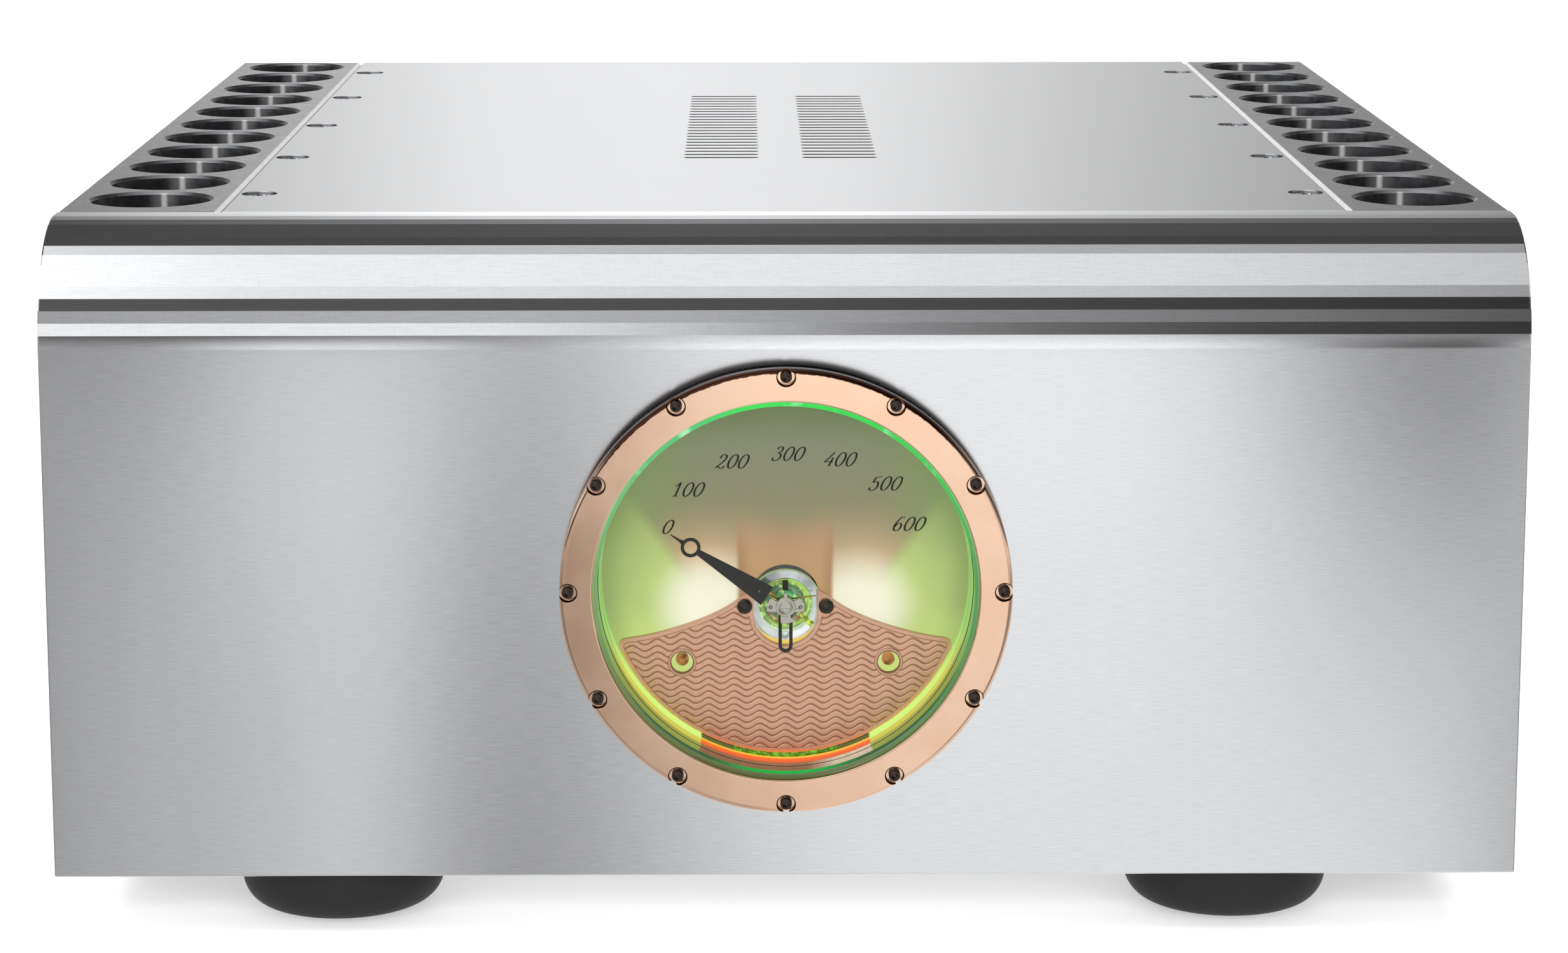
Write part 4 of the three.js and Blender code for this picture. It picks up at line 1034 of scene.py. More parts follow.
def fan_edge(inset):
    """Right half of the plate's outline from the notch outwards, then round below."""
    notch = NOTCH_R + inset
    top = [(NOTCH_R, -3.8), (14.1, -6.7), (18.6, -9.7), (23.5, -12.2), (29.5, -14.6), (36, -16.7),
        (43, -18.5), (49.5, -19.6)]
    path = smooth_path(top, 6)
    shifted = []
    for i, (u, v) in enumerate(path):
        a, b = path[max(i - 1, 0)], path[min(i + 1, len(path) - 1)]
        along = Vector((b[0] - a[0], b[1] - a[1])).normalized()
        shifted.append((u + along.y * inset, v - along.x * inset))
    if inset:
        shifted = [p for p in shifted if p[0] > notch + 3.4]
        shifted = [(notch, -12.6), (notch + 0.8, -12.2), (notch + 2.2, -12.4)] + shifted
        shifted = [p for p in shifted if p[0] < 47.6]
    corner_r = 2.2 - inset * 0.9
    corner_u, corner_v = 49.9 - inset * 0.25, -22 - inset * 0.02
    corner = arc(corner_r, 80, -25, corner_u, corner_v, 8)
    radius = FAN_R - inset
    start = degrees(atan2(corner[-1][1], corner[-1][0]))
    below = arc(radius, start - 1.5, -90, 0, 0, 48)
    return notch, shifted + corner + below


def fan_outline(inset=0):
    notch, right = fan_edge(inset)
    left = [(-u, v) for u, v in reversed(right[:-1])]
    bottom = arc(notch, 180, 360, 0, NOTCH_Z, 40)
    return [(u, v + METER_Z) for u, v in right + left + bottom]


def wave(x):
    return 0.88 * cos(2 * pi * x / 8)


def fan_field():
    """Field of wavy engraved lines, as a slab clipped to the inside of the plate's border."""
    pitch = 2.1
    section = [(0, 0.17), (0.1, 0.15), (0.19, 0.02), (0.5, 0), (0.81, 0.02), (0.9, 0.15)]
    columns = [-54 + 0.4 * i for i in range(271)]
    bm = bmesh.new()
    rows = []
    for line in range(-1, 27):
        for part, depth in section:
            base = METER_Z - 58.5 + (line + part) * pitch
            rows.append([bm.verts.new(world((x, FAN_Y + 0.05 + depth, base + wave(x)))) for x in columns])
    for a, b in zip(rows, rows[1:]):
        for i in range(len(columns) - 1):
            bm.faces.new((a[i], a[i + 1], b[i + 1], b[i]))
    edge = rows[0] + [r[-1] for r in rows[1:]] + rows[-1][-2::-1] + [r[0] for r in rows[-2:0:-1]]
    copies = []
    for vert in edge:
        copies.append(bm.verts.new((vert.co.x, world((0, FAN_Y + 0.5, 0)).y, vert.co.z)))
    for i in range(len(edge)):
        j = (i + 1) % len(edge)
        bm.faces.new((edge[j], edge[i], copies[i], copies[j]))
    bm.faces.new(copies)
    bmesh.ops.recalc_face_normals(bm, faces=bm.faces)
    clip = bmesh.new()
    add_sheet(clip, fan_outline(1.45), lamp_circles(4.55, 48), FAN_Y - 1, FAN_Y + 0.45, "y", 0)
    return combined(loose(bm), clip, "INTERSECT")


def lamp_circles(radius, sides):
    return [circle(radius, side * LAMP_X, METER_Z + LAMP_Z, sides) for side in (-1, 1)]


def fan_plate():
    screw_holes = [circle(1.3, side * FAN_SCREW_X, METER_Z + FAN_SCREW_Z, 24) for side in (-1, 1)]
    outer = fan_outline()
    back = FAN_Y + 2
    bm = bmesh.new()
    add_sheet(bm, outer, lamp_circles(3.4, 48) + screw_holes, FAN_Y + 0.3, back, "y", 0.15)
    add_sheet(bm, outer, [fan_outline(1.3)] + screw_holes, FAN_Y, FAN_Y + 0.5, "y", 0.14, rounds=2)
    field = fan_field()
    bm.from_mesh(field.data)
    bpy.data.objects.remove(field)
    post = [(1.3, back - 0.2), (2.4, back - 0.2), (2.4, DIAL_Y - 0.3), (1.3, DIAL_Y - 0.3), (1.3, back
        - 0.2)]
    for side, ring, hole in zip((-1, 1), lamp_circles(4.4, 64), lamp_circles(3.4, 64)):
        add_sheet(bm, ring, [hole], FAN_Y - 0.05, FAN_Y + 0.6, "y", 0.2, rounds=3)
        for x, z in ((FAN_SCREW_X, FAN_SCREW_Z), (26, -43)):
            lathe(bm, post, (side * x, 0, METER_Z + z), "y", 32)
    finish_mesh("meter_fan_plate_wavy", bm, FAN_COPPER, "fan_plate", "meter_fan_plate", sharp=28,
        merge=1e-8)


def star(angle):
    return 1 + 0.2 * cos(6 * angle)


def fan_screw(side, sign):
    low, high = span(f"fan_screw_{side}")
    spot = (sign * FAN_SCREW_X, low.y, METER_Z + FAN_SCREW_Z)
    profile = [
        (0, high.y - low.y), (1, high.y - low.y), (1, 1.4), (2.2, 1.4), (2.35, 1.2), (2.35,
        0.65), (2.2, 0.3),
        (1.9, 0.08), (1.45, 0), (1.25, 0.08, star), (1.15, 0.15, star), (1.1, 0.9, star), (0, 1),
    ]
    turned(f"fan_screw_{side}_head", profile, spot, BLACK_OXIDE, "screw_black", f"fan_screw_{side}", 72,
        sharp=40)


def lamp(side):
    centre = (middle(f"lamp_{side}").x, 0, LAMP_Z + METER_Z)
    front, back = 13.6, span(f"lamp_{side}")[1].y
    profile = [(0, front)]
    for degrees in range(8, 91, 8):
        angle = radians(degrees)
        profile.append((2.1 * sin(angle), front + 1.8 * (1 - cos(angle))))
    profile += [(2.1, back), (0, back)]
    turned(f"lamp_{side}_dome", profile, centre, LAMP_GLASS, "lamp", f"lamp_{side}", 64, sharp=35)


def bezel_screws():
    for node in BEZEL_NODES:
        socket_screw(f"{node}_head", node, BLACK_OXIDE, 1.8, 1.9, 1.9, 0.9, 4, axis="y", out=-1, sides=36)


def movement():
    core_front = span("meter_core")[0].y
    core_back = span("meter_core")[1].y
    flange = (0, 0, FLANGE_Z)
    rings = [
        (0, 15.9), (2.1, 15.9), (2.1, 15.2), (3.2, 15.2), (3.2, 16.2), (4.6, 16.2), (4.6, 15.5), (5.4,
        15.4), (5.4, 16.3),
        (6.2, 16.3), (6.5, 15.2), (7.2, 15.2), (7.4, 16.6), (8.3, 16.7),
    ]
    turned("meter_core_rings", rings + [(8.3, 17.2), (0, 17.2)], flange, HUB_GREEN, "movement", sides=128,
        sharp=25)
    chrome = [
        (8.35, 17), (8.35, core_front + 0.5), (8.75, core_front), (11.1, core_front + 0.25), (11.4,
        core_front + 0.6),
        (11.4, core_front + 1.4), (9.6, core_front + 1.4), (9.6, core_back), (8.35, core_back), (8.35,
        17),
    ]
    turned("meter_core_flange", chrome, flange, CHROME, "movement", "meter_core", 128)
    # A black sheet stands in for the shade in the gap at the top of the core.
    slot_ = rectangle(-0.9, PIVOT_Z + 3.4, 0.9, PIVOT_Z + 6.4)
    plate("meter_core_gap", NEEDLE_BLACK, "movement", "", slot_, [], core_front + 0.4, core_front + 2.2,
        "y", 0.15)


def bridge():
    front = span("meter_bridge")[0].y
    back = front + 1.8
    ears = [
        (-5.9, -1.5), (-2.4, -1.7), (-1.6, -2.4), (-1.6, -5), (-1.3, -5.2), (1.3, -5.2), (1.6,
        -4.9), (2.3, -4.9),
        (2.9, -4.3), (2.5, -3.8), (1.7, -3.4), (1.6, -2.4), (2.4, -1.7), (5.6, -1.5), (5.9, -1.2), (5.9,
        1.3),
        (5.3, 1.6), (5.2, 2.2), (4.5, 2.7), (3.7, 2.6), (3.2, 2), (2.6, 1.8), (0.75, 2.4), (0.55, 3),
        (0.55, 4.4), (-0.55, 4.4), (-0.55, 3), (-0.75, 2.4), (-2.6, 1.8), (-3.2, 2), (-3.7,
        2.6), (-4.5, 2.7),
        (-5.2, 2.2), (-5.3, 1.6), (-5.9, 1.3),
    ]
    holes = [circle(0.55, side * 4.65, 0, 24) for side in (-1, 1)]
    cup = [
        (0, front + 1.3), (1, front + 1.3), (1.3, front + 0.9), (1.55, front + 0.45), (2.1, front + 0.35),
        (2.2, front + 0.1), (2.4, front), (2.85, front), (3.05, front + 0.2), (3.05, back), (0, back),
    ]
    leg = [(0, back - 0.3), (0.7, back - 0.3), (0.7, 13), (0, 13)]
    stud = [(0, front + 0.75), (0.3, front + 0.8), (0.42, front + 1), (0.42, back), (0, back)]
    turnings = [(cup, HUB, "y", 64)]
    for side in (-1, 1):
        turnings.append((leg, (side * 5, 0, PIVOT_Z), "y", 24))
        turnings.append((stud, (side * 4.65, 0, PIVOT_Z), "y", 20))
    assembly("meter_bridge_bar", BRIDGE_STEEL, "movement", "meter_bridge",
             [(ears, holes, front + 0.5, back, "y", 0.12, HUB)], turnings, merge=1e-8)
    jewel = [(0, front + 0.75), (0.6, front + 0.8), (0.95, front + 0.95), (1.15, front + 1.2),
             (1.15, front + 1.5), (0, front + 1.5)]
    turned("meter_jewel", jewel, HUB, JEWEL, "movement", sides=48, sharp=40)


def fork():
    front, back = span("meter_zero_fork")[0].y, span("meter_zero_fork")[1].y
    low = -12.7
    outer = [(2.2, -2.2)] + [(2.2, low)] + arc(2.2, 0, -180, 0, low, 24)[1:] + [(-2.2, -2.2)] + arc(2.6,
        215, -35, 0, 0, 20)
    inner = [(1.15, -5.4), (1.15, low)] + arc(1.15, 0, -180, 0, low, 20)[1:] + [(-1.15, -5.4)]
    shift = lambda points: [(u, v + PIVOT_Z) for u, v in points]
    plate("meter_fork_loop", NEEDLE_BLACK, "needle", "meter_zero_fork", shift(outer), [shift(inner),
        shift(circle(1, sides=24))], front, back, "y", 0.2, rounds=2, body="zero_fork")


NEEDLE_REST = radians(33.1)
NEEDLE_OFFSET = 0.76
NEEDLE_RING = 34.7
NEEDLE_TIP = 42.3
NEEDLE_END = 6.5


def needle_frame(points):
    """From along and across the needle to chassis x and z, at its rest position."""
    direction = Vector((-cos(NEEDLE_REST), sin(NEEDLE_REST)))
    across = Vector((-direction.y, direction.x))
    return [(direction.x * u + across.x * v, direction.y * u + across.y * v + PIVOT_Z) for u, v in points]


def needle():
    front, back = span("meter_needle")[0].y, span("meter_needle")[1].y
    m, ring, end = NEEDLE_OFFSET, NEEDLE_RING, NEEDLE_END
    neck = arc(3.1, 200, 160, ring, m, 2)
    blade = [(end, m - 3.3), (ring - 2.55, m - 0.8), *neck, (ring - 2.55, m + 0.8), (end, m + 3.3)]
    tip = [(ring + 2.8, m - 0.75), (ring + 4.2, m - 0.4), (NEEDLE_TIP, m - 0.1), (NEEDLE_TIP, m + 0.1),
           (ring + 4.2, m + 0.4), (ring + 2.8, m + 0.75)]
    parts = ((blade, [circle(0.38, 9.2, m + 0.1, 16)], 0.1),
             (circle(3.1, ring, m, 64), [circle(2.05, ring, m, 48)], 0.14), (tip, [], 0.06))
    sheets = [(needle_frame(outer), [needle_frame(h) for h in holes], front, back, "y", chamfer)
              for outer, holes, chamfer in parts]
    assembly("meter_needle_blade", NEEDLE_BLACK, "needle", "meter_needle", sheets, body="needle",
        merge=1e-8)
    arm = needle_frame([(0, -1), (6.4, -0.9), (6.4, 0.1), (0, 0.2)])
    tail = [(u, v + PIVOT_Z) for u, v in ((1, 1.6), (9.5, 2.7), (9.5, 3.1), (1, 2.2))]
    hub = [(0.6, front), (2.3, front), (2.3, back), (0.6, back), (0.6, front)]
    assembly("meter_needle_arm", ARM_GOLD, "needle", "",
             [(outer, [], front + 0.15, back - 0.05, "y", 0.08) for outer in (arm, tail)],
             [(hub, HUB, "y", 48)], body="needle", merge=1e-8)
    weight(front, back)


def weight(front, back):
    """Balance weight, a small bar below the hub on the needle's far side."""
    start, end = Vector((4.6, 0, -3)), Vector((8.3, 0, -6.4))
    along = (end - start).normalized()
    side = Vector((-along.z, 0, along.x))
    base = Vector((0, (front + back) / 2, PIVOT_Z)) + start
    profile = ((0, 0.3), (0.04, 0.45), (0.3, 0.5), (0.34, 0.8), (0.4, 0.95), (0.66, 0.95), (0.7, 0.75),
               (0.76, 0.95), (0.97, 0.95), (1, 0.7))
    rings = [[base + (end - start) * t + side * u + Vector((0, v, 0)) for u, v in circle(r, sides=24)]
             for t, r in profile]
    bm = bmesh.new()
    loft(bm, rings, caps=True)
    finish_mesh("meter_needle_weight", bm, WEIGHT, "needle", body="needle", sharp=35)


def coil():
    low, high = span("meter_coil")
    profile = [
        (0, low.y), (0.45, low.y + 0.1), (0.5, low.y + 0.2), (0.5, 9.3), (2.2, 9.3), (2.4, 9.5), (2.4,
        12.1), (2.2, 12.3),
        (0.5, 12.3), (0.5, high.y), (0, high.y),
    ]
    turned("meter_coil_collar", profile, HUB, COLLAR, "coil", "meter_coil", 64, body="needle")


bezel()
bezel_screws()
housing()
glass()
light_ring()
dial()
fan_plate()
for side, sign in (("left", -1), ("right", 1)):
    fan_screw(side, sign)
    lamp(side)
movement()
bridge()
fork()
needle()
coil()

# ------------------------------------------------------------------ plates, rear fittings and inside
REAR = span("rear_panel")[1].y
INLET = middle("mains_inlet")
AUDIO = middle("xlr_socket")
POSTS = [middle(f"post_{colour}_base") for colour in ("black", "red")]
FLANGE_T = 2.2
DRAWER = (-10.9, -24.7, 10.9, -17.3)


def plates():
    low, high = span("bottom_plate")
    plate("bottom_plate_sheet", PLATE, "plates", "bottom_plate", rectangle(low.x, low.y, high.x, high.y),
        [], low.z, high.z, "z", 0.6)
    low, high = span("rear_panel")
    barrel = [(u + INLET.x, v + INLET.z) for u, v in rounded(-14.5, -31.8, 14.5, 31.8, 1)]
    holes = [barrel, circle(12, AUDIO.x, AUDIO.z)] + [circle(4.3, p.x, p.z, 40) for p in POSTS]
    plate("rear_panel_sheet", PLATE, "plates", "rear_panel", rectangle(low.x, low.z, high.x, high.z),
        holes, low.y, high.y, "y", 0.4)


def mains_module():
    at = (INLET.x, 0, INLET.z)
    socket = [(-12.2, -6.7), (12.2, -6.7), (12.2, 5.2), (7.7, 9.7), (-7.7, 9.7), (-12.2, 5.2)]
    drawer = rounded(*DRAWER, 0.5)
    well = rounded(-9.7, 13.5, 9.7, 30.5, 0.5)
    barrel = rounded(-14.2, -31.5, 14.2, 31.5, 1)
    assembly("mains_module", BLACK_PLASTIC, "socket_black", "mains_inlet", [
        (rounded(-17, -35, 17, 35, 2.5), [socket, drawer, well], REAR + GAP, REAR + GAP + FLANGE_T, "y",
        0.5, at, 2),
        (barrel, [socket, drawer, well], REAR - 14.5, REAR + 0.6, "y", 0.1, at),
        (barrel, [drawer], REAR - 21, REAR - 14.4, "y", 0.1, at),
        (barrel, [], REAR - 26, REAR - 20.9, "y", 0.3, at),
    ])
    blades = [(rounded(u - 1, v - 0.5, u + 1, v + 3.5, 0.4, 3), [], REAR - 15, REAR - 2.5, "y", 0.35, at, 1)
              for u, v in ((-7, -2), (7, -2), (0, 2))]
    assembly("mains_blades", SCREW, "socket_black", "", blades)
    left, low, right, high = DRAWER
    grip = rounded(-5.5, -1.1, 5.5, 1.1, 1)
    assembly("fuse_drawer_body", BLACK_PLASTIC, "socket_black", "fuse_drawer", [
        (rounded(left - 0.9, low - 0.7, right + 0.9, high + 0.7, 1), [[(u, v - 21) for u, v in grip]],
         REAR + 2.8, REAR + 4.4, "y", 0.35, at, 2),
        (rounded(left + 0.3, low + 0.3, right - 0.3, high - 0.3, 0.4), [], REAR - 20.7, REAR + 3.2, "y",
        0.2, at),
    ], body="drawer")


def rocker():
    """Rocker with a hollow face, tilted about its pins."""
    pivot = Vector((INLET.x, REAR - 3, INLET.z + 22))
    turn = Matrix.Rotation(radians(7), 3, "X")
    face = [(5.6 - 1 * cos(pi / 2 * i / 5) ** 1.5, 7 * i / 5) for i in range(5)]
    edge = [(5.6, 7), (5.3, 7.35), (0.5, 7.4), (-2.6, 4.6)]
    upper = face + edge
    section = upper[1:] + [(y, -z) for y, z in reversed(upper)]
    rings = []
    for x, inset in ((-9.4, 0.5), (-9.25, 0.15), (-8.9, 0), (8.9, 0), (9.25, 0.15), (9.4, 0.5)):
        ring = [Vector((x, y - inset * (1 if y > 0 else -1), z * (1 - inset / 7.4))) for y, z in section]
        rings.append([tuple(pivot + turn @ p) for p in ring])
    bm = bmesh.new()
    loft(bm, rings, caps=True)
    finish_mesh("mains_rocker_paddle", bm, BLACK_PLASTIC, "socket_black", "mains_rocker", body="rocker",
        sharp=35)


def audio_socket():
    at = (AUDIO.x, 0, AUDIO.z)
    turns = [radians(d) for d in (-90, 30, 150)]
    contacts = [circle(1.5, 4.4 * cos(a), 4.4 * sin(a), 24) for a in turns]
    fixings = [circle(1.6, side * 9.5, side * 12, 24) for side in (-1, 1)]
    window = rounded(-3.3, 11.3, 3.3, 14.5, 0.4)
    barrel, groove = circle(11.7, sides=96), circle(9.4, sides=96)
    assembly("xlr_socket_shell", BLACK_PLASTIC, "socket_black", "xlr_socket", [
        (rounded(-13, -15.5, 13, 15.5, 2), [groove, window, *fixings], REAR + GAP, REAR + 2.5, "y", 0.35,
        at, 2),
        (barrel, [groove], REAR - 12, REAR + 0.6, "y", 0.1, at),
        (circle(7.6, sides=80), contacts, REAR - 12, REAR + 2.3, "y", 0.35, at, 2),
        (barrel, [], REAR - 18, REAR - 11.9, "y", 0.3, at),
    ])
    sleeves = [
        ([(0.9, REAR - 9), (1.45, REAR - 9), (1.45, REAR + 1.2), (0.9, REAR + 1.2), (0.9, REAR - 9)],
         (at[0] + 4.4 * cos(a), 0, at[2] + 4.4 * sin(a)), "y", 32)
        for a in turns
    ]
    assembly("xlr_sleeves", GOLD, "socket_black", "", turnings=sleeves)
    plate("xlr_latch_tab", SCREW, "movement", "xlr_latch", rounded(-3, 11.6, 3, 14.2, 0.5), [], REAR + 2,
        REAR + 4.6, "y", 0.4, centre=at, rounds=2, body="latch")


def binding_post(colour, knob_material):
    spot = middle(f"post_{colour}_base")
    at = (spot.x, 0, spot.z)
    thread = [(r, 6.6 + 0.8 * i + step) for i in range(24) for r, step in ((4, 0), (3.65, 0.4))]
    profile = [
        (0, -15), (3.4, -15), (3.7, -14.6), (3.7, 0.3), (8.6, 0.3), (8.95, 0.7), (8.95, 5.2), (8.4,
        5.8), (5, 6),
        *thread, (4, 26.3), (3.5, 26.9), (2.1, 26.9), (2.1, 12), (0, 12),
    ]
    turned(f"post_{colour}_stem", [(r, REAR + t) for r, t in profile], at, GOLD, "contact",
        f"post_{colour}_base", 64, sharp=35)
    turns = [2 * pi * i / 160 for i in range(160)]
    grip = [((8.55 + 0.45 * cos(10 * a)) * cos(a), (8.55 + 0.45 * cos(10 * a))
        * sin(a)) for a in turns]
    body = f"knob_{colour}"
    plate(f"post_{colour}_nut", knob_material, body, f"post_{colour}_knob", grip, [circle(4.3, sides=48)],
        REAR + 10.5, REAR + 25, "y", 0.7, centre=at, rounds=3, body=body)


def transformer():
    low, high = span("transformer")
    at = (middle("transformer").x, middle("transformer").y, low.z)
    outer, inner, tall, soft = (high.x - low.x) / 2, 26, high.z - low.z, 12
    corners = [(outer - soft, soft, -90), (outer - soft, tall - soft, 0), (inner + soft, tall - soft, 90),
               (inner + soft, soft, 180)]
    ridged = lambda angle: 1 - 0.004 * (0.5 + 0.5 * cos(90 * angle))
    profile = [(*p, ridged) for u, v, start in corners for p in arc(soft, start, start + 90, u, v, 6)]
    turned("transformer_winding", profile + profile[:1], at, WINDING, "winding", "transformer", 360,
        axis="z", sharp=60)
    six = hexagon(17.2, 9.9)
    clamp = [
        (0, 0), (5, 0), (5, tall), (20, tall), (21, tall + 0.5), (44.4, tall + 0.5), (45, tall + 1.1),
        (44.6, tall + 2.6), (40, tall + 3), (24, tall + 2), (14, tall + 2), (13, tall + 3), (9.9, tall + 3),
        (9.9, tall + 3, six), (9.9, tall + 8.4, six), (9, tall + 9, six), (0, tall + 9),
    ]
    turned("transformer_clamp_dish", clamp, at, SCREW, "movement", "transformer_clamp", axis="z")


def supply_board():
    spot, low = middle("supply_board"), span("supply_board")[0]
    at = (spot.x, spot.y, low.z)
    signs = [(u, v) for u in (-1, 1) for v in (-1, 1)]
    leg = [(0, 0), (2.6, 0), (3, 0.4), (3, 11), (0, 11)]
    feet = [(leg, (at[0] + u * 69, at[1] + v * 42, at[2]), "z", 32) for u, v in signs]
    assembly("supply_board_sheet", BOARD, "board", "supply_board",
        [(rounded(-75, -48, 75, 48, 2), [], 10, 12, "z", 0.2, at)], feet)
    can = [(0, 12), (21, 12), (21.9, 13), (21.9, 16), (21.2, 17), (21.2, 18), (21.9, 19), (21.9, 107),
           (20.8, 109), (19, 109.6), (18.4, 108.6), (0, 108.2)]
    cans = [(can, (at[0] + u * 26, at[1] + v * 23.5, at[2]), "z", 72) for u, v in signs]
    assembly("supply_capacitors", BLACK_PLASTIC, "board", "", turnings=cans)
    fins = [(rectangle(54, -30, 58, 30), [], 11.9, 34, "z", 0.3, at)]
    fins += [(rectangle(57.5, -30 + 8.2 * i, 70, -27.5 + 8.2 * i), [], 11.9, 34, "z", 0.3, at)
        for i in range(8)]
    assembly("supply_rectifier", BLACK_OXIDE, "board", "", fins)


def output_board(side, name):
    wall, y = side * (span("output_board_right")[1].x), BODY_D / 2

    def slab(near, far, at, half, low, high, soft=0.3):
        a, b = sorted((wall - side * near, wall - side * far))
        return rounded(y + at - half, low, y + at + half, high, soft * 2, 3), [], a, b, "x", soft, (0, 0,
            0), 1

    assembly(f"{name}_sheet", BOARD, "board", name, [slab(6, 8, 0, 150, 40, 165, 0.2)])
    packs = [slab(0, 5.2, -125 + 50 * i, 10, 60, 88) for i in range(6)]
    assembly(f"{name}_transistors", BLACK_PLASTIC, "board", "", packs)
    cans = [slab(7.9, 30, -90 + 90 * i, 9, 105, 123, 1.2) for i in range(3)]
    assembly(f"{name}_capacitors", KNOB_RED, "board", "", cans)


plates()
mains_module()
rocker()
audio_socket()
binding_post("black", KNOB_BLACK)
binding_post("red", KNOB_RED)
transformer()
supply_board()
output_board(-1, "output_board_left")
output_board(1, "output_board_right")

# ------------------------------------------------------------------ stage, lights and camera
FLOOR_R = 3
EYE = (-12.7, -1213.9, 373.2)
EYE_TURN = -0.0100
EYE_DIP = 0.1765
LENS = 92.45
SENSOR_W = 36
LENS_SHIFT = -0.06
STUDIO_REACH = 1240 / 457.2
STUDIO_MIDDLE = 0.5 - 12.7 / 457.2


def floor():
    """Round pale floor; the metal mirrors the studio instead of it."""
    bm = bmesh.new()
    bmesh.ops.create_circle(bm, cap_ends=True, segments=96, radius=FLOOR_R)
    piece = loose(bm)
    piece.name = piece.data.name = "floor"
    made = varied("pale_floor", srgb(246, 246, 246), 0.7, 0, 0.02, 0.005, 0.02)
    Look(made).set(emission_color=(1, 1, 1), emission_strength=0.36)
    piece.data.materials.append(made)
    piece.visible_glossy = False


def softbox(name, place, width, height, radiance):
    """Rectangle light aimed at the object; its power comes from its radiance."""
    light = bpy.data.lights.new(name, "AREA")
    light.shape = "RECTANGLE"
    light.size, light.size_y = width, height
    light.energy = radiance * width * height * pi
    lamp_ = add_object(name, light)
    lamp_.location = place
    lamp_.rotation_euler = (Vector() - Vector(place)).to_track_quat("-Z", "Y").to_euler()
    lamp_.visible_glossy = False


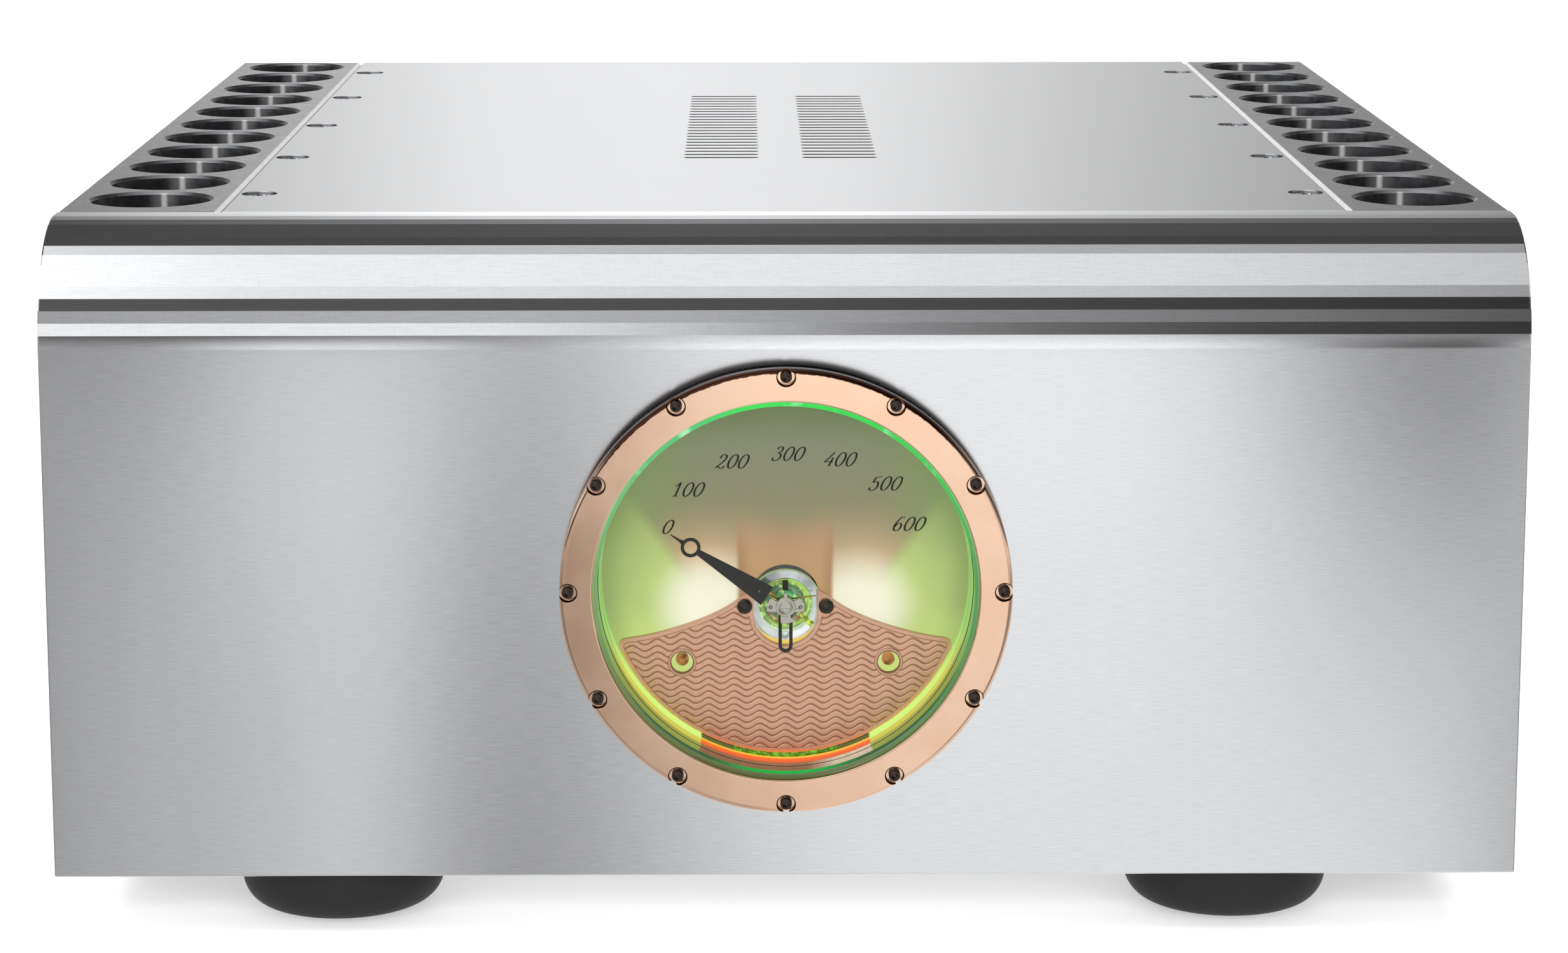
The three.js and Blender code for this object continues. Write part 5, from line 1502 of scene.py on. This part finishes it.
def studio():
    """Soft light all round, in broad bands that lie level in front of, above and behind the object.

    climb is the angle from the front horizon over the top to the back one, and aside the
    direction's share to the right, scaled so that 1 reaches the object's right side.
    """
    scene_world = bpy.data.worlds.new("studio")
    bpy.context.scene.world = scene_world
    look = Look(scene_world)
    x, y, z = look.split(look.out("ShaderNodeTexCoord", output="Generated"))
    climb = look.math("ARCTAN2", z, y * -1) * (180 / pi)
    aside = x * STUDIO_REACH + STUDIO_MIDDLE

    def sweep(*stops):
        return ramp(aside, [(at, (level, level, level)) for at, level in stops])

    bands = [
        (-100, sweep((0, 0.55), (0.3, 0.6), (0.6, 0.92), (1, 0.9))),
        (-34, sweep((0, 0.3), (0.04, 0.58), (0.16, 0.58), (0.2, 0.95), (0.24, 0.8), (0.285, 0.26),
        (0.34, 0.3),
                      (0.44, 0.64), (0.52, 0.96), (0.92, 1.04), (0.96, 0.82), (1, 0.36))),
        (-14.4, sweep((0, 0.4), (0.045, 0.66), (0.16, 0.64), (0.2, 1.1), (0.24, 0.95), (0.285, 0.36),
        (0.36, 0.42),
                      (0.42, 0.84), (0.5, 1.06), (0.7, 1.06), (0.88, 0.92), (0.96, 1.06), (1, 0.62))),
        (-10.6, sweep((0, 0.52), (0.04, 0.44), (0.08, 0.52), (0.16, 1.2), (0.24, 1.15), (0.32, 0.55),
        (0.4, 0.95),
                      (0.46, 1.34), (0.52, 1.4), (0.76, 1.3), (0.82, 0.9), (0.88, 0.25), (0.93,
                      0.05), (0.97, 0.05),
                      (1, 0.9))),
        (-5, sweep((0, 0.1), (0.15, 0.03), (0.28, 0.22), (0.42, 0.72), (0.55, 0.9), (0.7, 0.9), (0.82,
        0.5),
                     (1, 0.24))),
        (4, sweep((0, 1.2), (0.3, 1.08), (0.42, 0.78), (0.55, 0.36), (0.68, 0.16), (0.82, 0.07), (1,
        0.04))),
        (16, sweep((0, 0.44), (0.15, 0.54), (0.3, 0.6), (0.45, 0.55), (0.6, 0.38), (0.8, 0.26), (1,
        0.13))),
        (28, sweep((0, 0.1), (0.5, 0.085), (1, 0.035))),
        (40, sweep((0, 1.4), (0.15, 1.08), (0.5, 0.92), (0.75, 0.76), (1, 0.42))),
        (52, sweep((0, 1.45), (0.15, 1.18), (0.5, 1.1), (0.75, 0.98), (1, 0.74))),
        (88, sweep((0, 1.05), (0.15, 0.76), (0.5, 0.66), (0.75, 0.54), (1, 0.42))),
        (100, sweep((0, 0.07), (0.5, 0.08), (1, 0.06))),
        (112, sweep((0, 0.08), (0.45, 0.125), (1, 0.08))),
        (136, sweep((0, 0.1), (0.25, 0.24), (0.42, 0.32), (0.6, 0.26), (1, 0.1))),
        (148, sweep((0, 0.25), (0.15, 0.5), (0.3, 0.84), (0.45, 0.92), (0.7, 0.66), (1, 0.32))),
        (160, sweep((0, 0.42), (0.15, 0.9), (0.3, 1.26), (0.42, 1.3), (0.55, 1.2), (0.7, 0.84), (0.85,
        0.56), (1, 0.34))),
    ]
    tone = bands[0][1]
    for start, colour in bands[1:]:
        soft = 2 if start < -5 else 1.2
        tone = mix(step(climb, start - soft, start + soft), tone, colour)
    behind_below = step(z, 0.045, 0.03) * step(y, -0.05, 0.05)
    tone = mix(behind_below, tone, (1.3, 1.3, 1.3))
    look.link(tone, look.tree.nodes["Background"].inputs["Color"])


def camera():
    data = bpy.data.cameras.new("camera")
    data.lens = LENS
    data.sensor_width = SENSOR_W
    data.shift_x = 0
    data.shift_y = LENS_SHIFT
    data.clip_end = 60
    eye = add_object("camera", data)
    turn = Matrix.Rotation(EYE_TURN, 4, "Z") @ Matrix.Rotation(pi / 2 - EYE_DIP, 4, "X")
    eye.matrix_world = Matrix.Translation(world(EYE)) @ turn
    bpy.context.scene.camera = eye


floor()
studio()
softbox("overhead", (0, 0, 2.6), 4.4, 4.4, 2.65)
softbox("front_low", (0, -2.2, 0.6), 3.6, 1, 7)
camera()
bpy.context.scene.view_settings.view_transform = "Standard"
